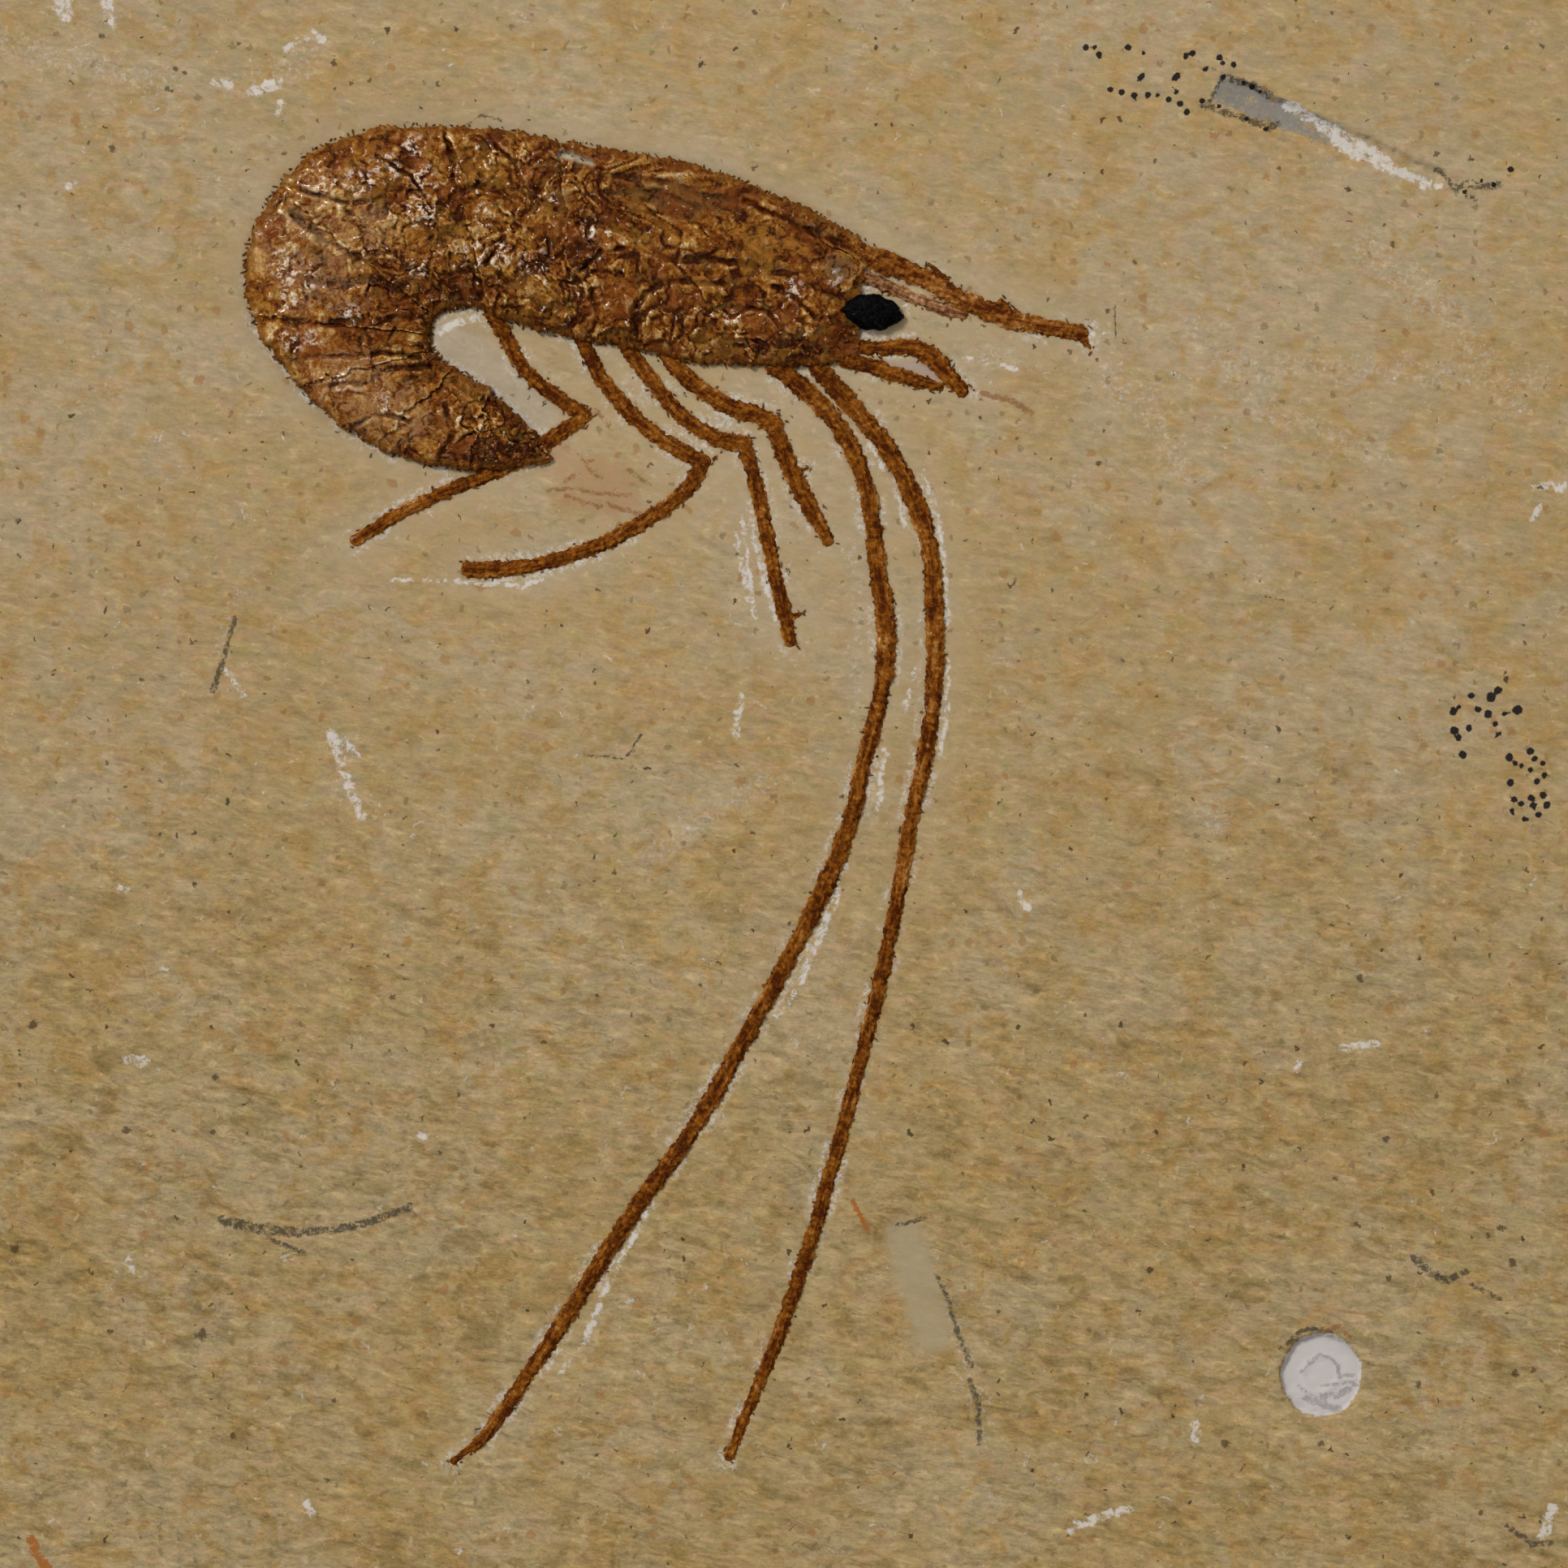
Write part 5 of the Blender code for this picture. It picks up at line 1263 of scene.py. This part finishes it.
def limb_material(name, dark, bright, pale):
    """Orange-brown crust, streaked along the limb and blotched with dark brown, with painted shade in its pits and
    painted light on its grains.
    """
    made, tree, shader = new_material(name, Coat_Roughness=0.2, Specular_IOR_Level=0.04)
    where = millimetres(tree)
    lumps = mottle(tree, where, 0.42, 5, 0.7, 0.4)
    flecks = mottle(tree, where, 2.4, 5, 0.8, 0.4)
    dust = mottle(tree, where, 7.0, 2, 0.8)
    across = read_mask(tree, "across")
    run = calculate(tree, "MULTIPLY", read_mask(tree, "decimetres"), 62)
    combined = add_node(tree, "ShaderNodeCombineXYZ", {0: run, 1: calculate(tree, "MULTIPLY", across, 5.0)})
    streaks = mottle(tree, combined.outputs[0], 0.6, 5, 0.7, 0.7)
    # Painted shade and light: the tone follows the crust's height, darker in its pits and lighter on its grains
    tone = remap(tree, read_mask(tree, "crust"), 0.2, 0.8, -0.18, 0.18, "LINEAR")
    tone = calculate(tree, "ADD", tone, remap(tree, lumps, 0.32, 0.68, -0.20, 0.20, "LINEAR"))
    tone = calculate(tree, "ADD", tone, remap(tree, streaks, 0.3, 0.7, -0.34, 0.34, "LINEAR"))
    tone = calculate(tree, "ADD", tone, remap(tree, flecks, 0.3, 0.7, -0.22, 0.22, "LINEAR"))
    tone = calculate(tree, "ADD", tone, remap(tree, dust, 0.3, 0.7, 0.30, 0.46, "LINEAR"))
    middle = tuple(0.45 * b + 0.55 * a for a, b in zip(dark, bright))
    colour = colour_ramp(tree, tone, (0.12, dark), (0.34, middle), (0.56, bright), (0.96, pale))
    tree.links.new(colour, shader.inputs["Base Color"])
    tree.links.new(remap(tree, flecks, 0.3, 0.7, 0.45, 0.75), shader.inputs["Roughness"])
    tree.links.new(remap(tree, lumps, 0.5, 0.7, 0.0, 0.25), shader.inputs["Coat Weight"])
    relief = calculate(tree, "MULTIPLY_ADD", flecks, 0.9, calculate(tree, "MULTIPLY", dust, 0.2))
    bump = add_node(tree, "ShaderNodeBump", {"Height": relief, "Strength": 0.7, "Distance": 0.18 * MM})
    tree.links.new(bump.outputs[0], shader.inputs["Normal"])
    return made


limb_finish = limb_material("limb_shell", (0.055, 0.010, 0.0005), (0.235, 0.072, 0.004), (0.43, 0.215, 0.060))
rostrum_finish = limb_material("rostrum_shell", (0.065, 0.012, 0.001), (0.270, 0.090, 0.010), (0.50, 0.30, 0.13))
keel_finish = limb_material("keel_shell", (0.085, 0.024, 0.006), (0.33, 0.155, 0.065), (0.52, 0.36, 0.22))

limb_lines = []
rostrum = lay_limb("rostrum", ROSTRUM, 1.3, rostrum_finish)
join_pieces(rostrum, [lay_limb("tooth", tooth, 2.1 + tooth[0][0], rostrum_finish) for tooth in TEETH])
limbs = [
    rostrum,
    lay_limb("rostrum_keel", ROSTRUM_KEEL, 2.6, keel_finish),
    lay_limb("upper_antennule", UPPER_ANTENNULE, 3.7, limb_finish),
    lay_limb("lower_antennule", LOWER_ANTENNULE, 4.9, limb_finish),
    lay_limb("front_antenna", FRONT_ANTENNA, 6.1, limb_finish),
    lay_limb("rear_antenna", REAR_ANTENNA, 8.3, limb_finish),
]
spurs = {3: SPURS[0], 4: SPURS[1]}
for number, (upper_part, lower_part) in enumerate(WALKING_LEGS, 1):
    leg = lay_limb(f"leg_{number}", reach_past_knee(upper_part, -1), 10.0 + number, limb_finish)
    others = [lay_limb("shin", reach_past_knee(lower_part, 0), 20.0 + number, limb_finish)]
    if number in spurs:
        others.append(lay_limb("spur", spurs[number], 30.0 + number, limb_finish))
    join_pieces(leg, others)
    limbs.append(leg)
for limb in limbs:
    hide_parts("fossil_shrimp")
    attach(limb, "root")

# Crumbs and splinters
# The shell and limbs have shed small splinters, and hair-thin spines still stand out from their edges.
# They lie flat on the stone or stick to the shell. Each is a ball drawn out to a sliver, many times copied.
EDGE_SPLINTERS = 440
LIMB_SPLINTERS = 420
SHELL_CRUMBS = 700


def scatter_splinters(name, places, headings, sizes, seed):
    """Slivers at places of x, y and z, each with a heading and a length, width and height, all in millimetres."""
    first = start_from(bpy.ops.mesh.primitive_ico_sphere_add, subdivisions=1, radius=1)
    first.name = name
    corners = len(first.data.vertices)
    copies = first.modifiers.new("copies", "ARRAY")
    copies.count = len(places)
    bpy.ops.object.modifier_apply(modifier="copies")
    chance = np.random.default_rng(seed)
    unit = get_points(first)[:corners]
    shape = unit[None] * (1 + 0.35 * chance.uniform(-1, 1, (len(places), corners, 1))) * sizes[:, None] / 2
    taper = 1 - 0.5 * shape[:, :, 0] / sizes[:, None, 0]
    turn_x, turn_y = np.cos(headings)[:, None], np.sin(headings)[:, None]
    x = places[:, None, 0] + shape[:, :, 0] * turn_x - shape[:, :, 1] * taper * turn_y
    y = places[:, None, 1] + shape[:, :, 0] * turn_y + shape[:, :, 1] * taper * turn_x
    z = places[:, None, 2] + shape[:, :, 2] * taper
    set_points(first, np.stack([x, y, z], axis=2).reshape(-1, 3) * MM)
    return first


chance = np.random.default_rng(17)
rim_line = np.concatenate([
    curve_through(backs, np.linspace(0, last_station, EDGE_SPLINTERS // 2)),
    curve_through(bellies, np.linspace(0, last_station, EDGE_SPLINTERS // 2)),
])
rim_turns = np.arctan2(*np.gradient(rim_line, axis=0).T[::-1])
limb_rim = []
for line in limb_lines:
    steps = np.linspace(0, len(line) - 1, max(6, int(len(line) * LIMB_SPLINTERS / 5200))).astype(int)
    turns = np.arctan2(*np.gradient(line[:, :2], axis=0).T[::-1])[steps]
    side = chance.choice([-1, 1], len(steps))
    reach = side * line[steps, 2] * 0.47
    limb_rim.append(np.column_stack([
        line[steps, 0] - np.sin(turns) * reach, line[steps, 1] + np.cos(turns) * reach, turns,
    ]))
limb_rim = np.concatenate(limb_rim)
around = np.concatenate([np.column_stack([rim_line, rim_turns]), limb_rim])
around[:, :2] += chance.normal(0, 0.09, (len(around), 2))
headings = around[:, 2] + chance.normal(0, 0.9, len(around))
headings = headings + math.pi / 2 * chance.choice([0, 1], len(around), p=[0.6, 0.4])
sizes = np.column_stack([
    0.22 + 0.42 * chance.random(len(around)) ** 2, 0.07 + 0.09 * chance.random(len(around)),
    0.10 + 0.08 * chance.random(len(around)),
])
places = np.column_stack([around[:, :2], FACE / MM + stone_height(around[:, 0], around[:, 1]) + 0.06])
splinters = scatter_splinters("splinters", places, headings, sizes, 23)
splinter_finish = limb_material("splinter_shell", (0.05, 0.012, 0.001), (0.17, 0.058, 0.007), (0.30, 0.14, 0.04))
set_mask(splinters, "crust", np.full(len(splinters.data.vertices), 0.4))
set_mask(splinters, "across", np.full(len(splinters.data.vertices), 0.5))
splinters.data.materials.append(splinter_finish)

skin = get_points(shell)[:len(grid)] / MM
chosen = chance.choice(len(grid), SHELL_CRUMBS, replace=False, p=(0.15 + crumbled) / np.sum(0.15 + crumbled))
sizes = np.column_stack([
    0.16 + 0.34 * chance.random(SHELL_CRUMBS) ** 2, 0.10 + 0.14 * chance.random(SHELL_CRUMBS),
    0.07 + 0.08 * chance.random(SHELL_CRUMBS),
])
crumb_piece = scatter_splinters("crumbs", skin[chosen], chance.uniform(0, math.pi, SHELL_CRUMBS), sizes, 29)
for name in ("crest", "swell"):
    set_mask(crumb_piece, name, np.repeat(chance.uniform(0.2, 0.85, SHELL_CRUMBS), 12))
crumb_piece.data.materials.append(shell_finish)
for piece in (splinters, crumb_piece):
    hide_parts("fossil_shrimp")
    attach(piece, "root")

# Eye
# The one eye that shows is a flattened lens of black, glassy matter, pointed at both ends and finely cracked.
# It is a ball pressed to that shape, in the socket between the head and the root of the rostrum.
EYE = (6.3, 33.7)
EYE_LENGTH = 4.6
EYE_WIDTH = 2.6
EYE_HEIGHT = 1.8
EYE_TURN = math.radians(-7)
EYE_PINCH = 0.22
EYE_LIFT = 0.15
eye = start_from(bpy.ops.mesh.primitive_uv_sphere_add, segments=160, ring_count=80, radius=1)
eye.name = "fossil_eye"
ball = get_points(eye)
along, across, up = ball.T
pinched = across * (1 - EYE_PINCH * np.square(along)) * np.clip(1.06 - np.abs(along) ** 3 * 0.5, 0, 1)
x = along * EYE_LENGTH / 2
y = pinched * EYE_WIDTH / 2
cracks = np.minimum(crease(x + 9, y, 0.62, 1, 2.4), crease(x, y + 5, 0.9, 2, 6.2))
uneven = 0.07 * rough(x, y, 0.5, 3, 4.4) + 0.12 * (cracks - 0.3) * up
height = up * EYE_HEIGHT / 2 + np.where(up > 0, uneven, 0)
rim = 1 + 0.09 * rough(x, y, 0.7, 3, 3.9)
turn_x, turn_y = math.cos(EYE_TURN), math.sin(EYE_TURN)
world_x = EYE[0] + (x * turn_x - y * turn_y) * rim
world_y = EYE[1] + (x * turn_y + y * turn_x) * rim
set_points(eye, np.column_stack([world_x * MM, world_y * MM, FACE + (EYE_LIFT + height) * MM]))
set_mask(eye, "crack", 1 - ease(cracks, 0.1, 0.3))
bpy.ops.object.shade_smooth_by_angle(angle=math.radians(75))
eye_finish, tree, shader = new_material("fossil_eye", Specular_IOR_Level=0.02, Coat_Roughness=0.08)
where = millimetres(tree)
flecks = mottle(tree, where, 3.2, 5, 0.75)
colour = blend(tree, remap(tree, flecks, 0.45, 0.75), (0.0008, 0.0008, 0.001, 1), (0.005, 0.0045, 0.0045, 1))
colour = blend(tree, calculate(tree, "MULTIPLY", read_mask(tree, "crack"), 0.35), colour, (0.016, 0.014, 0.012, 1))
tree.links.new(colour, shader.inputs["Base Color"])
tree.links.new(remap(tree, flecks, 0.3, 0.7, 0.3, 0.6), shader.inputs["Roughness"])
tree.links.new(remap(tree, flecks, 0.54, 0.66, 0.0, 0.09), shader.inputs["Coat Weight"])
bump = add_node(tree, "ShaderNodeBump", {"Height": flecks, "Strength": 0.5, "Distance": 0.1 * MM})
tree.links.new(bump.outputs[0], shader.inputs["Normal"])
eye.data.materials.append(eye_finish)
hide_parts("eye")
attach(eye, "root")

# Floor, light and camera
# The slab lies on a plain pale floor, under a soft lamp from the upper left and a wide soft fill.
# The camera looks straight down from a metre away, as the photograph was taken.
floor = start_from(bpy.ops.mesh.primitive_plane_add, size=6)
floor.name = "floor"
pale_floor, tree, shader = new_material("pale_floor", Roughness=0.9)
shader.inputs["Base Color"].default_value = (0.75, 0.74, 0.72, 1)
floor.data.materials.append(pale_floor)
floor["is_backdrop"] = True


def add_lamp(name, place, size, power, tint=(1, 1, 1)):
    """A square lamp of soft light that shines on the slab's middle."""
    lamp = bpy.data.lights.new(name, "AREA")
    lamp.size = size
    lamp.energy = power
    lamp.color = tint
    holder = bpy.data.objects.new(name, lamp)
    holder.location = place
    holder.rotation_euler = (-Vector(place)).to_track_quat("-Z", "Y").to_euler()
    bpy.context.collection.objects.link(holder)


add_lamp("key_lamp", (-0.75, 0.75, 0.95), 0.3, 17)
add_lamp("left_fill", (-1.5, -0.3, 0.95), 1.0, 7.5)
add_lamp("right_fill", (1.5, 0.5, 0.95), 1.0, 7.5)
add_lamp("front_fill", (0.2, -1.5, 0.95), 1.0, 7.5)
add_lamp("back_fill", (0.3, 1.5, 0.95), 1.0, 7)
world = bpy.data.worlds.new("studio")
world.use_nodes = True
world.node_tree.nodes["Background"].inputs["Color"].default_value = (1, 1, 1, 1)
world.node_tree.nodes["Background"].inputs["Strength"].default_value = 0.05
bpy.context.scene.world = world

CAMERA_HEIGHT = 1.0
FRAME_WIDTH = 112 * MM
lens = bpy.data.cameras.new("camera")
lens.sensor_width = 36
lens.lens = 36 * (CAMERA_HEIGHT - FACE) / FRAME_WIDTH
camera = bpy.data.objects.new("camera", lens)
camera.location = (0, 0, CAMERA_HEIGHT)
bpy.context.collection.objects.link(camera)
bpy.context.scene.camera = camera

low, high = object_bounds()
